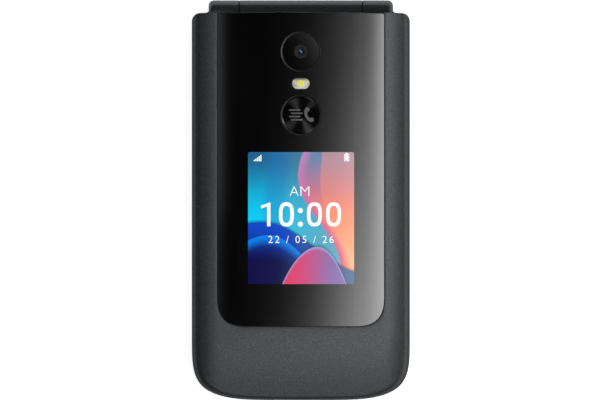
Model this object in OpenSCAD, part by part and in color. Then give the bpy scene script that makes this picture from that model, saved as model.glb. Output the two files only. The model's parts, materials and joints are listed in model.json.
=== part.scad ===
// Clamshell mobile phone, closed and lying on its back.
// X runs across it, Y along it from the chin to the hinge barrel, Z out through the lid.

/* [Overall] */
// Width across the lid
body_w = 57; // [55:0.5:60]
// Length from the chin to the back of the hinge barrel
body_l = 104.8; // [100:0.4:110]
// Thickness when closed
body_t = 19.2; // [19.1:0.05:19.6]
// How much narrower the base is than the lid, each side
base_tuck = 0.3; // [0.2:0.05:0.4]
// Wall thickness of the housings
wall_t = 1.4; // [1.2:0.1:1.5]
// Length of the curved chin
chin_l = 18.05; // [17.5:0.25:19]
// Squareness of the chin curve
chin_power = 4.6; // [4:0.1:5]
// Plan radius of the corners beside the hinge
corner_r = 2.1; // [1.6:0.1:2.6]

/* [Hinge] */
// Height of the hinge axis and of the parting plane
hinge_h = 11.2; // [11.1:0.05:11.3]
// Radius of the hinge barrel
barrel_r = 4; // [3.9:0.05:4.1]
// Rounding at the ends of the barrel
barrel_soft = 0.9; // [0.6:0.1:1.2]
// Distance of the barrel's ends from the lid's sides
barrel_inset = 4.35; // [4.2:0.05:4.75]
// Length of the middle knuckle, which belongs to the lid
middle_w = 32; // [31:0.5:33]
// Radius of the pin and shaft ends
pin_r = 2.2; // [2.1:0.05:2.3]
// Radial running clearance of the pins
run_gap = 0.05; // [0.03:0.01:0.08]
// Clearance around the barrel and between its knuckles
barrel_gap = 0.25; // [0.2:0.05:0.3]
// Gap between lid and base at the parting plane
part_gap = 0.4; // [0.36:0.02:0.44]

/* [Lid] */
// Height of the seam between the two lid housings
lid_seam = 14.2; // [14.1:0.1:14.4]
// How far the lid's surface falls from its middle to its edges
crown = 0.8; // [0.7:0.05:0.9]
// Edge rounding of the lid
lid_round = 2.6; // [2.3:0.1:2.8]
// Width of the gloss outer window
panel_w = 43.8; // [43.2:0.2:44.2]
// Distance from the chin to the outer window
panel_chin = 18.9; // [18.4:0.1:19.4]
// Thickness of the outer window
panel_t = 1; // [0.9:0.05:1.05]
// Width of the outer display module
outer_w = 34; // [33.4:0.2:34.4]
// Distance from the chin end of the outer window to the outer display
outer_rise = 2; // [1.6:0.1:2.2]
// Distance from the outer display to the call button's flange
outer_head = 0.75; // [0.7:0.05:0.9]
// Radius of the call button
call_r = 5.15; // [5:0.05:5.3]
// Distance from the camera to the call button
call_drop = 16.6; // [16.4:0.05:16.7]
// Outer radius of the camera ring
ring_r = 5.23; // [5.1:0.05:5.4]
// Distance from the hinge axis to the camera
camera_drop = 9.6; // [9.5:0.05:9.7]
// Width of the flash lens
flash_w = 4.75; // [4.5:0.05:4.9]
// Length of the flash lens
flash_l = 3.1; // [3:0.05:3.2]
// Distance from the camera to the flash lens
flash_drop = 8.35; // [8.2:0.05:8.5]
// Margin beside the inner window
window_side = 3; // [2.8:0.1:3.2]
// Distance from the hinge axis to the inner window
window_head = 16.9; // [16.7:0.1:17.1]
// Distance from the lid's chin to the inner window
window_chin = 10.6; // [10.5:0.1:10.8]
// Thickness of the inner window
window_t = 0.8; // [0.7:0.05:0.85]
// Margin between the sides of the main display and of its window
main_side = 0.5; // [0.4:0.05:0.6]
// Margin between the ends of the main display and of its window
main_end = 1.9; // [1.7:0.1:2]

/* [Keypad] */
// Margin beside the keys
field_side = 2.8; // [2.7:0.1:3]
// Distance from the chin to the lowest row of keys
field_chin = 12.85; // [12.7:0.05:13]
// Width of the ribs between the keys
rib = 0.8; // [0.7:0.05:0.9]
// Clearance around each key
key_gap = 0.3; // [0.25:0.01:0.32]
// How far a key travels
key_travel = 0.25; // [0.2:0.05:0.25]
// Width of the direction ring
nav_w = 23; // [22.6:0.1:23.2]
// Length of the direction ring
nav_l = 20; // [19.6:0.1:20.2]
// Distance from the hinge axis to the middle of the direction ring
nav_head = 20.9; // [20.8:0.05:21]
// Radius of the OK key
ok_r = 5; // [4.8:0.1:5.2]

/* [Base] */
// Distance from the base's side to the battery
battery_side = 11.2; // [11.1:0.1:11.4]
// Distance from the hinge axis to the battery
battery_head = 24.4; // [24.3:0.1:24.6]
// Distance from the chin to the battery
battery_chin = 26.4; // [26.3:0.1:26.6]
// Thickness of the battery
battery_t = 4.6; // [4.4:0.05:4.6]
// Distance from the base's side to the battery cover
cover_side = 5.2; // [5.1:0.05:5.3]
// Distance from the hinge axis to the battery cover
cover_head = 5.4; // [5.3:0.05:5.5]
// Distance from the chin to the battery cover
cover_chin = 4.9; // [4.8:0.05:5]
// Thickness of the battery cover
cover_t = 1.2; // [1.1:0.05:1.25]
// Length of the volume rocker
rocker_l = 20.1; // [19.6:0.1:20.4]
// Bore radius of the headphone socket
jack_r = 1.8; // [1.78:0.01:1.82]

/* [Hidden] */
$fn = 64;
eps = 0.01;
fit = 0.05; // gap between fixed pieces that fit together
loose = 0.15; // gap around pieces that lift out
knuckle_gap = 2 * loose; // between the knuckles
rocker_gap = 0.25;
far = 60; // longer than any cut needs

hinge_y = body_l / 2 - barrel_r;
chin_y = -body_l / 2; // end of the base's chin
lid_chin = chin_y + 0.3; // the base shows past the lid here
side_y = lid_chin + chin_l; // where the straight sides start
lid_half = body_w / 2;
base_half = lid_half - base_tuck;
base_end = hinge_y - 0.2;
lid_end = hinge_y + 0.9;
base_top = hinge_h - part_gap / 2;
lid_low = hinge_h + part_gap / 2;
base_seam = hinge_h - barrel_r;
barrel_w = body_w - 2 * barrel_inset;
recess_r = barrel_r + barrel_gap;
recess_w = barrel_w + 2 * barrel_gap;
end_wall = recess_r + 1.25; // from the hinge axis to the insides of the housings
lid_end_wall = end_wall + lid_end - hinge_y;
swing = 75; // steepness of the lid's corners, which lets it open to 160 degrees
sheet = 0.2; // sheet metal

// Base, upwards
floor_low = cover_t + 1; // floor over the battery cover
cover_gap = 0.1; // gap over the battery cover
bay_floor = 0.8;
bay_wall = 1;
bay_top = base_seam - bay_floor;
battery_z = cover_t + cover_gap;
battery_w = 2 * (base_half - battery_side);
battery_high = hinge_y - battery_head;
battery_low = chin_y + battery_chin;
battery_r = 1.5;
bay_end = battery_high + key_gap;
board_t = 1;
board_top = base_seam + board_t;
dome_sheet_t = 0.2;
dome_h = 0.35;
dome_top = board_top + dome_sheet_t + dome_h;
plate_low = base_top - 1.2;
flange_t = 0.45;
flange_reach = 0.5;
flange_top = plate_low - fit;
key_top = base_top + 0.15; // the caps stand a little out of the base
key_low = dome_top + key_travel + fit;
back_round = 3; // inset of the back's rounded edge
back_rise = 4.2; // height of that edge

// Lid, upwards
window_low = lid_low + fit;
window_top = window_low + window_t;
ledge_t = 0.55;
face_top = window_top + ledge_t; // back of the lid's inner face
main_low = face_top + fit;
main_t = 1.9;
frame_low = main_low + main_t + fit;
frame_t = 0.4;
lid_board_low = frame_low + frame_t + fit;
lid_board_t = 0.7;
lid_board_top = lid_board_low + lid_board_t;
outer_z = lid_board_top + fit;
outer_t = 1.7;
lid_ceiling = body_t - 2.2;
window_well = 0.1; // how far round pieces stand below the top
button_top = body_t - window_well;
button_flange_t = 0.3;
button_reach = 0.8;
button_gap = 0.15;
button_flange = lid_ceiling - fit - button_flange_t;

// Keypad
cap_gap = rib + 2 * key_gap; // between the caps of two keys
field_half = base_half - field_side;
field_low = chin_y + field_chin;
nav_y = hinge_y - nav_head;
col_step = (2 * field_half + cap_gap) / 3;
row_step = (nav_y - nav_l / 2 - field_low) / 5;
key_w = col_step - cap_gap;
key_l = row_step - cap_gap;
soft_w = field_half - nav_w / 2 - cap_gap;
soft_l = (nav_l - cap_gap) / 2;
soft_x = field_half - soft_w / 2;
soft_y = nav_y + (nav_l - soft_l) / 2;
function_y = nav_y - (nav_l - soft_l) / 2;
key_r = 2;
nav_r = 8;
post_r = 1; // post under a key's middle
ok_gap = 0.3;
nav_drop = 0.25; // the ring's flange hangs lower than the keys'
nav_nub = 8; // distance of the ring's nubs from its middle
nav_lift = 0.2; // gap under the nubs, so that the ring can rock
keypad = [ // node, x, y, width, length
    for (row = [0:4], col = [0:2])
        [str(["key_", "key_", "key_", "key_", ""][row],
            ["star", "0", "hash", "7", "8", "9", "4", "5", "6", "1", "2", "3",
                "send_key", "clear_key", "end_key"][row * 3 + col]),
            (col - 1) * col_step, field_low + key_l / 2 + row * row_step, key_w, key_l],
    for (side = [-1, 1]) [side < 0 ? "soft_key_left" : "soft_key_right", side * soft_x, soft_y, soft_w, soft_l],
    for (side = [-1, 1])
        [side < 0 ? "function_key_left" : "function_key_right", side * soft_x, function_y, soft_w, soft_l],
];

// Places in the base
screw_r = 0.7;
head_r = 1.35;
head_h = 1;
screw_hinge = 8.2; // from the hinge axis to the screws beside it
base_screw_xy = [for (x = [-1, 1])
    each [[x * (base_half - 7.2), hinge_y - screw_hinge], [x * (base_half - 8.2), chin_y + 7.2]]];
cover_w = 2 * (base_half - cover_side);
cover_high = hinge_y - cover_head;
cover_low = chin_y + cover_chin;
cover_y = (cover_high + cover_low) / 2;
cover_r = 4;
tab_x = cover_w / 2 - 1.8;
tab_y = cover_high - 17.25;
rocker_y = hinge_y - 31.3;
rocker_x = base_half - wall_t; // the wall's inside
rocker_axis = rocker_x + 0.5;
rocker_low = base_seam + rocker_gap;
rocker_high = rocker_low + 2.2;
rocker_lip = 0.5;
rocker_lip_l = 6;
rocker_back = 0.5; // how far it reaches inside the wall
rocker_pin_r = 0.4;
side_switch_gap = 6;
side_switch_in = 1.2; // from the wall's inside to the switches
nub_low = board_top + 0.15;
nub_high = board_top + 0.6;
usb_w = 8.94;
usb_h = 3.26;
usb_wall = 0.3;
usb_l = 7.3;
usb_z = base_seam - usb_h / 2;
usb_mouth = chin_y + 0.5;
jack_x = base_half - 15.2;
jack_l = 14;
jack_w = 6.2;
jack_t = 4.9;
jack_z = base_seam - jack_t / 2 - fit;
jack_nose_r = 2.3;
jack_nose_l = 1.9;
mic_w = 4;
mic_l = 3;
mic_t = 1.1;
mic_x = -usb_w / 2 - mic_w / 2 - 2.53;
mic_y = chin_y + 1.9;
mic_z = base_seam - 0.6;
speaker_y = hinge_y - 12.4;
speaker_w = 15;
speaker_l = 11;
speaker_t = 3.1;
sim_w = 13;
sim_l = 15.6;
sim_t = 1.2;
sim_rim = 0.4;
sim_x = 9.5 - battery_w / 2;
sim_y = battery_high - 12.2;
sim_card_w = 12;
sim_card_l = 15;
sim_card_t = 0.76;
sim_travel = 13;
contact_w = 10;
contact_l = 3;
contact_step = 2.6;
contact_z = battery_z + 2.7;

// Places in the lid
lid_screw_xy = [for (x = [-1, 1])
    each [[x * (lid_half - 6), hinge_y - screw_hinge], [x * (lid_half - 7), lid_chin + 5.6]]];
boss_r = 2.2;
bumper_r = 1.9;
bumper_t = 0.85;
earpiece_y = lid_chin + 6.6;
earpiece_w = 12;
earpiece_l = 6;
earpiece_t = 2.35;
earpiece_r = 1.5;
camera_y = hinge_y - camera_drop;
camera_w = 8;
camera_nose_r = 3.3;
ring_t = 0.6;
call_y = camera_y - call_drop;
flash_y = camera_y - flash_drop;
window_w = 2 * (lid_half - window_side);
window_high = hinge_y - window_head;
window_low_y = lid_chin + window_chin;
window_y = (window_high + window_low_y) / 2;
window_l = window_high - window_low_y;
window_r = 2;
main_w = window_w - 2 * main_side;
main_l = window_l - 2 * main_end;
view_w = main_w - 4.4;
view_l = main_l - 9.2;
view_y = window_y - 2.5;
outer_low = lid_chin + panel_chin + outer_rise;
outer_high = call_y - call_r - button_reach - outer_head;
can_r = 2.55; // hinge spring can
can_from = 2.2;
stub_r = 1.2;
stub_x = 10;
hollow_r = 1.5;
hollow_x = 9;
pin_end = barrel_w / 2 - 1.65;
pin_start = middle_w / 2 + knuckle_gap;

body_grey = [0.31, 0.32, 0.33];
gloss_black = [0.03, 0.03, 0.035];
steel = [0.7, 0.71, 0.73];
board_green = [0.05, 0.25, 0.15];

// ---- Outlines and plain shapes

// Points of a superellipse arc: centre, radii, squareness and angles
function arc(centre, rx, ry, power, from, to, steps) = [
    for (i = [0:steps])
        let (a = from + (to - from) * i / steps)
            centre + [rx * sign(cos(a)) * pow(abs(cos(a)), 2 / power),
                ry * sign(sin(a)) * pow(abs(sin(a)), 2 / power)]
];

// Plan of the body: straight sides, a curved chin and small corners beside the hinge
function plan(half, chin, end, r) = concat(
    arc([0, side_y], half, side_y - chin, chin_power, 180, 360, 44),
    arc([half - r, end - r], r, r, 2, 0, 90, 5),
    arc([r - half, end - r], r, r, 2, 90, 180, 5)
);

function base_plan(inset, end_inset) =
    plan(base_half - inset, chin_y + inset, base_end - end_inset, max(corner_r - inset, fit));
function lid_plan(inset, end_inset) =
    plan(lid_half - inset, lid_chin + inset, lid_end - end_inset, max(corner_r - inset, fit));

module slab(points, low, high)
    translate([0, 0, low])
        linear_extrude(high - low)
            polygon(points);

module block(x, y, z)
    translate([x[0], y[0], z[0]])
        cube([x[1] - x[0], y[1] - y[0], z[1] - z[0]]);

// Rectangle with rounded corners, centred
module rounded(w, l, r) {
    square([w - 2 * r, l], center = true);
    square([w, l - 2 * r], center = true);
    for (x = [-1, 1], y = [-1, 1])
        translate([x * (w / 2 - r), y * (l / 2 - r)])
            circle(r);
}

module plate(x, y, w, l, r, low, high)
    translate([x, y, low])
        linear_extrude(high - low)
            rounded(w, l, r);

module disc(x, y, r, low, high)
    translate([x, y, low])
        cylinder(r = r, h = high - low);

// Cylinder along the hinge axis
module barrel(r, from, to)
    translate([from, hinge_y, hinge_h])
        rotate([0, 90, 0])
            cylinder(r = r, h = to - from);

// The same, with a rounded outer end: it runs from x = from outwards, towards side
module end_knuckle(side, from, to)
    translate([side * from, hinge_y, hinge_h])
        rotate([0, side * 90, 0])
            rotate_extrude()
                polygon(concat(
                    [[0, 0], [barrel_r, 0]],
                    arc([barrel_r - barrel_soft, to - from - barrel_soft], barrel_soft, barrel_soft, 2, 0, 90, 6),
                    [[0, to - from]]
                ));

// Cylinder along Y
module bore_y(x, z, r, from, to)
    translate([x, to, z])
        rotate([90, 0, 0])
            cylinder(r = r, h = to - from);

// Everything under the lid's crowned surface, lowered by depth
module under_crown(depth) {
    steps = 20;
    reach = lid_half + 1;
    top = [for (i = [-steps:steps]) let (x = reach * i / steps)
        [x, body_t - depth - crown * pow(x / lid_half, 2)]];
    rotate([90, 0, 0])
        linear_extrude(2 * far, center = true)
            polygon(concat([[-reach, 0]], top, [[reach, 0]]));
}

// Outline of the outer window
module panel(gap) {
    half = panel_w / 2 + gap;
    low = lid_chin + panel_chin - gap;
    corner = 8.5 + gap;
    power = 2.8;
    end = lid_end - 0.3 + gap;
    polygon(concat(
        arc([corner - half, low + corner], corner, corner, power, 180, 270, 12),
        arc([half - corner, low + corner], corner, corner, power, 270, 360, 12),
        [[half, end], [-half, end]]
    ));
}

module flash_outline(grow) {
    r = flash_l / 2 + grow;
    reach = (flash_w - flash_l) / 2;
    square([2 * reach, 2 * r], center = true);
    for (x = [-1, 1])
        translate([x * reach, 0])
            circle(r);
}

// ---- Base

module back_shell()
    hull()
        for (i = [0:6])
            let (a = 15 * i, inset = back_round * (1 - sin(a)), z = back_rise * (1 - cos(a)))
                slab(base_plan(inset, inset * 0.5), z, i == 6 ? base_seam : z + eps);

module rear_housing() {
    post = 2.4;
    notch_r = 6;
    notch_in = 3;
    notch_rise = 0.5;
    color(body_grey)
        difference() {
            back_shell();
            difference() {
                slab(base_plan(wall_t + 0.4, end_wall - 0.2), floor_low, base_seam + eps);
                bay(bay_wall, floor_low - eps, base_seam + 2 * eps);
                for (p = base_screw_xy)
                    disc(p[0], p[1], post, floor_low - eps, base_seam + 2 * eps);
            }
            plate(0, cover_y, cover_w + 2 * loose, cover_high - cover_low + 2 * loose, cover_r + loose,
                -1, cover_t + fit);
            disc(0, cover_low + notch_in, notch_r, -1, cover_t + notch_rise);
            bay(0, -1, bay_top);
            contact_opening();
            sim_opening();
            for (p = base_screw_xy) {
                disc(p[0], p[1], screw_r + loose, 0, base_seam + 1);
                disc(p[0], p[1], head_r + loose, 0, cover_t + cover_gap + head_h);
            }
            port_holes();
            speaker_slots();
            tab_slots(loose);
            barrel(recess_r, -middle_w / 2 - loose, middle_w / 2 + loose);
        }
}

// Space of the battery, grown by its walls
module bay(grow, low, high)
    block(
        [-battery_w / 2 - key_gap - grow, battery_w / 2 + key_gap + grow],
        [battery_low - key_gap - grow, bay_end + grow],
        [low, high]
    );

module contact_opening()
    block([-contact_w / 2 - loose, contact_w / 2 + loose], [bay_end - eps, bay_end + contact_l + loose],
        [floor_low, base_seam + 1]);

module sim_opening()
    block(
        [sim_x - sim_w / 2 - loose, sim_x + sim_w / 2 + loose],
        [sim_y - sim_l / 2 - sim_travel - 2, sim_y + sim_l / 2 + loose],
        [bay_top - eps, base_seam + 1]
    );

// Mouths of the sockets and of the microphone in the chin
module port_holes() {
    wall_in = chin_y + wall_t + 1.5;
    stadium_y(usb_w + 2 * fit, usb_h + 2 * fit, chin_y - 1, wall_in);
    bore_y(jack_x, jack_z, jack_nose_r + fit, chin_y - 1, wall_in);
    bore_y(mic_x, mic_z, 0.5, chin_y - 1, wall_in);
}

// Flat-sided round-ended bar along Y, at the USB socket's height
module stadium_y(w, h, from, to) {
    reach = (w - h) / 2;
    for (x = [-1, 1])
        bore_y(x * reach, usb_z, h / 2, from, to);
    block([-reach, reach], [from, to], [usb_z - h / 2, usb_z + h / 2]);
}

module speaker_slots() {
    step = 2.4;
    for (x = [-2:2])
        plate(x * step, speaker_y, 1, 7, 0.45, -1, floor_low + 1);
}

module tab_slots(grow)
    for (x = [-1, 1], y = [cover_low + cover_high - tab_y, cover_y, tab_y])
        block(
            [x * tab_x - 0.5 - grow, x * tab_x + 0.5 + grow],
            [y - 3 - grow, y + 3 + grow],
            [cover_t - eps, cover_t + 0.8 + grow]
        );

module battery_cover()
    color(body_grey * 0.9) {
        difference() {
            plate(0, cover_y, cover_w, cover_high - cover_low, cover_r, 0, cover_t);
            speaker_slots();
        }
        tab_slots(0);
    }

module battery()
    color([0.15, 0.16, 0.18])
        difference() {
            plate(0, (battery_low + battery_high) / 2, battery_w, battery_high - battery_low, battery_r,
                battery_z, battery_z + battery_t);
            contacts(0.9, 1.1, battery_high - 0.4, bay_end);
        }

module battery_contacts()
    color("goldenrod") {
        block([-contact_w / 2, contact_w / 2], [bay_end, bay_end + contact_l], [floor_low + fit, base_seam]);
        contacts(0.6, 0.6, battery_high + fit, bay_end + 1);
    }

// Three blocks in a row: half their width and height, and where they start and end
module contacts(half_w, half_h, from, to)
    for (x = [-1:1])
        block([x * contact_step - half_w, x * contact_step + half_w], [from, to],
            [contact_z - half_h, contact_z + half_h]);

// Board with room for the screws, and the two switches under the volume rocker
module main_board()
    color(board_green) {
        difference() {
            slab(base_plan(wall_t + 2, end_wall + 0.2), base_seam, board_top);
            for (p = base_screw_xy)
                disc(p[0], p[1], screw_r + 0.3, base_seam - 1, board_top + 1);
        }
        for (y = [-1, 1])
            side_switch(rocker_y + y * side_switch_gap);
    }

module side_switch(y) {
    out = rocker_x - side_switch_in;
    block([out - 2, out], [y - 1.6, y + 1.6], [board_top - eps, board_top + 0.7]);
    block([out - eps, out + 0.3], [y - 0.6, y + 0.6], [nub_low, nub_high]);
}

module can(x, y, low)
    difference() {
        block(x, y, [low, base_seam]);
        block([x[0] + sheet, x[1] - sheet], [y[0] + sheet, y[1] - sheet], [low + sheet, base_seam + 1]);
    }

module shield_cans() {
    side_room = 12.2;
    jack_room = 1.9;
    battery_room = 3.6;
    radio_can_h = 2.2;
    speaker_can_h = 1.6;
    radio_x = [side_room - base_half, jack_x - jack_w / 2 - jack_room];
    radio_y = [usb_mouth + usb_l + 1, battery_low - battery_room];
    speaker_reach = speaker_w / 2 + 1;
    color(steel) {
        can(radio_x, radio_y, base_seam - radio_can_h);
        can([-speaker_reach, speaker_reach], [speaker_y - speaker_l / 2 - 1.3, speaker_y + speaker_l / 2 + 0.1],
            base_seam - speaker_can_h);
    }
}

module dome(x, y)
    translate([x, y, board_top + dome_sheet_t - eps])
        cylinder(r1 = 2, r2 = 0.9, h = dome_h + eps);

module dome_sheet() {
    reach = field_half - 1.9;
    color("whitesmoke") {
        block([-reach, reach], [field_low - 2.5, nav_y + nav_l / 2 - 1],
            [board_top, board_top + dome_sheet_t]);
        for (k = keypad)
            dome(k[1], k[2]);
        for (a = [0:90:270])
            dome(nav_nub * cos(a), nav_y + nav_nub * sin(a));
        dome(0, nav_y);
    }
}

module sim_holder()
    color(steel)
        difference() {
            block([sim_x - sim_w / 2, sim_x + sim_w / 2], [sim_y - sim_l / 2, sim_y + sim_l / 2],
                [base_seam - sim_t, base_seam]);
            block([sim_x - sim_w / 2 + sim_rim, sim_x + sim_w / 2 - sim_rim],
                [sim_y - sim_l / 2 - 1, sim_y + sim_l / 2 - sim_rim],
                [base_seam - sim_t + sheet, base_seam - sheet]);
        }

module sim_card() {
    low = base_seam - sim_t / 2 - sim_card_t / 2;
    end = sim_y + sim_l / 2 - 0.5;
    cut = 2.5;
    color("goldenrod")
        slab([[sim_x - sim_card_w / 2, end - sim_card_l], [sim_x + sim_card_w / 2, end - sim_card_l],
            [sim_x + sim_card_w / 2, end - cut], [sim_x + sim_card_w / 2 - cut, end],
            [sim_x - sim_card_w / 2, end]], low, low + sim_card_t);
}

module usb_socket() {
    tongue_w = 6.6;
    tongue_t = 0.7;
    color(steel) {
        difference() {
            stadium_y(usb_w, usb_h, usb_mouth, usb_mouth + usb_l);
            stadium_y(usb_w - 2 * usb_wall, usb_h - 2 * usb_wall, usb_mouth - 1, usb_mouth + usb_l - 1);
        }
        block([-tongue_w / 2, tongue_w / 2], [usb_mouth + 1, usb_mouth + usb_l - eps],
            [usb_z - tongue_t / 2, usb_z + tongue_t / 2]);
    }
}

module headphone_socket() {
    mouth = chin_y + 0.4;
    end_t = 0.8;
    color([0.12, 0.12, 0.13])
        difference() {
            union() {
                bore_y(jack_x, jack_z, jack_nose_r, mouth, mouth + jack_nose_l + 0.2);
                block([jack_x - jack_w / 2, jack_x + jack_w / 2], [mouth + jack_nose_l, mouth + jack_l],
                    [jack_z - jack_t / 2, jack_z + jack_t / 2 + fit]);
            }
            bore_y(jack_x, jack_z, jack_r, mouth - 1, mouth + jack_l - end_t);
        }
}

module microphone()
    color(steel)
        difference() {
            block([mic_x - mic_w / 2, mic_x + mic_w / 2], [mic_y, mic_y + mic_l],
                [base_seam - mic_t, base_seam]);
            bore_y(mic_x, mic_z, 0.3, mic_y - 1, mic_y + 1);
        }

module loudspeaker() {
    rim = 1.5;
    color([0.2, 0.2, 0.2])
        difference() {
            plate(0, speaker_y, speaker_w, speaker_l, 2, floor_low + fit, floor_low + speaker_t);
            plate(0, speaker_y, speaker_w - 2 * rim, speaker_l - 2 * rim, 1.2, floor_low, floor_low + 0.6);
        }
}

module vibration_motor() {
    motor_r = 2;
    motor_l = 8;
    weight_l = 2;
    color(steel)
        translate([speaker_w / 2 + 3.5, hinge_y - 13, base_seam - motor_r - fit])
            rotate([0, 90, 0]) {
                cylinder(r = motor_r, h = motor_l);
                cylinder(r = 0.4, h = motor_l + 1 + weight_l);
                translate([0, 0, motor_l + 1])
                    intersection() {
                        cylinder(r = motor_r, h = weight_l);
                        translate([-motor_r, -motor_r, 0])
                            cube([2 * motor_r, motor_r + 0.6, weight_l]);
                    }
            }
}

module antenna_carrier() {
    side_room = 4.7;
    speaker_room = 2.5;
    hinge_room = 11.2;
    carrier_l = 8.2;
    wall = 1.2;
    x = [side_room - base_half, -speaker_w / 2 - speaker_room];
    y = [hinge_y - hinge_room - carrier_l, hinge_y - hinge_room];
    color([0.85, 0.85, 0.8])
        difference() {
            block(x, y, [floor_low + fit, base_seam]);
            block([x[0] + wall, x[1] - wall], [y[0] + wall, y[1] - wall], [floor_low + wall, base_seam + 1]);
        }
}

module base_screws() {
    low = cover_t + cover_gap;
    color(steel)
        for (p = base_screw_xy)
            difference() {
                union() {
                    disc(p[0], p[1], head_r, low, low + head_h);
                    disc(p[0], p[1], screw_r, low + head_h - eps, plate_low - 0.4);
                }
                cross_recess(p, low);
            }
}

// Cross in a screw head, cut upwards from low
module cross_recess(p, low) {
    depth = 0.5;
    arm = 0.7;
    slot = 0.15;
    block([p[0] - arm, p[0] + arm], [p[1] - slot, p[1] + slot], [low - 1, low + depth]);
    block([p[0] - slot, p[0] + slot], [p[1] - arm, p[1] + arm], [low - 1, low + depth]);
}

module keypad_housing() {
    screw_post = 1.8;
    color(body_grey)
        difference() {
            union() {
                difference() {
                    hull() {
                        slab(base_plan(0, 0), base_seam, base_top - 0.5);
                        slab(base_plan(0.15, 0), base_top - 0.2, base_top - 0.2 + eps);
                        slab(base_plan(0.5, 0), base_top - eps, base_top);
                    }
                    slab(base_plan(wall_t, end_wall - 0.2), base_seam - 1, plate_low);
                    barrel(recess_r, -middle_w / 2 - loose, middle_w / 2 + loose);
                }
                for (side = [-1, 1])
                    end_knuckle(side, pin_start, barrel_w / 2);
                for (p = base_screw_xy)
                    disc(p[0], p[1], screw_post, board_top, plate_low + eps);
            }
            for (k = keypad)
                plate(k[1], k[2], k[3] + 2 * key_gap, k[4] + 2 * key_gap, key_r + key_gap, plate_low - 1, far);
            plate(0, nav_y, nav_w + 2 * key_gap, nav_l + 2 * key_gap, nav_r + key_gap, plate_low - 1, far);
            for (p = base_screw_xy)
                disc(p[0], p[1], screw_r + fit, 0, plate_low - 0.2);
            for (side = [-1, 1])
                barrel(pin_r + run_gap, side < 0 ? -pin_end - fit : 0, side < 0 ? 0 : pin_end + fit);
            rocker_opening();
        }
}

// Opening in the wall, a pocket over the rocker's lip and the hole of its pin
module rocker_opening() {
    reach = rocker_l / 2 + rocker_gap;
    lip_reach = rocker_lip_l / 2 + rocker_gap;
    block([rocker_x - eps, lid_half + 1], [rocker_y - reach, rocker_y + reach],
        [base_seam - 1, rocker_high + rocker_gap]);
    block([rocker_x - rocker_back - loose, rocker_x], [rocker_y - lip_reach, rocker_y + lip_reach],
        [base_seam, rocker_high + rocker_lip + loose]);
    disc(rocker_axis, rocker_y, rocker_pin_r + run_gap, base_seam, rocker_high + rocker_lip + loose);
}

module volume_rocker() {
    back = rocker_x - rocker_back;
    color(body_grey * 0.8) {
        block([back, lid_half], [rocker_y - rocker_l / 2, rocker_y + rocker_l / 2], [rocker_low, rocker_high]);
        block([back, rocker_x - 0.1], [rocker_y - rocker_lip_l / 2, rocker_y + rocker_lip_l / 2],
            [rocker_low, rocker_high + rocker_lip]);
        disc(rocker_axis, rocker_y, rocker_pin_r, rocker_high - eps, rocker_high + rocker_lip);
        for (y = [rocker_y - side_switch_gap, rocker_y + side_switch_gap])
            block([back - 0.25, back + eps], [y - 0.8, y + 0.8], [nub_low, nub_high]);
    }
}

module key(k)
    color([0.25, 0.26, 0.27]) {
        plate(k[1], k[2], k[3], k[4], key_r, flange_top - flange_t, key_top);
        plate(k[1], k[2], k[3] + 2 * flange_reach, k[4] + 2 * flange_reach, key_r,
            flange_top - flange_t, flange_top);
        disc(k[1], k[2], post_r, key_low, flange_top);
    }

module nav_ring() {
    top = flange_top - nav_drop;
    color([0.25, 0.26, 0.27])
        difference() {
            union() {
                plate(0, nav_y, nav_w, nav_l, nav_r, top - flange_t, key_top);
                plate(0, nav_y, nav_w + 2 * flange_reach, nav_l + 2 * flange_reach, nav_r, top - flange_t, top);
                for (a = [0:90:270])
                    disc(nav_nub * cos(a), nav_y + nav_nub * sin(a), 0.8, dome_top + nav_lift, top);
            }
            disc(0, nav_y, ok_r + ok_gap, 0, far);
        }
}

module ok_key()
    color([0.25, 0.26, 0.27]) {
        disc(0, nav_y, ok_r, flange_top - 0.5, key_top);
        disc(0, nav_y, post_r, key_low, key_top);
    }

// ---- Hinge

module hinge_shaft()
    color(steel) {
        barrel(pin_r, pin_start, pin_end);
        barrel(stub_r, stub_x, pin_start + eps);
    }

module hinge_hollow_pin()
    color([0.2, 0.2, 0.21])
        difference() {
            barrel(pin_r, -pin_end, -hollow_x);
            barrel(hollow_r, -pin_end - 1, 0);
        }

module hinge_spring_can()
    color(steel)
        difference() {
            barrel(can_r, can_from, middle_w / 2 - fit);
            barrel(stub_r + run_gap, stub_x - 0.2, middle_w / 2);
        }

// ---- Lid

// What the lid must leave free to swing: the barrel's ends, and the base at its corners
module swing_room() {
    for (side = [-1, 1])
        barrel(recess_r, side < 0 ? -recess_w / 2 : middle_w / 2 + loose,
            side < 0 ? -middle_w / 2 - loose : recess_w / 2);
    translate([-far, hinge_y, hinge_h])
        rotate([swing - 90, 0, 0])
            cube([2 * far, far, lid_seam - hinge_h + 0.6]);
}

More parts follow.
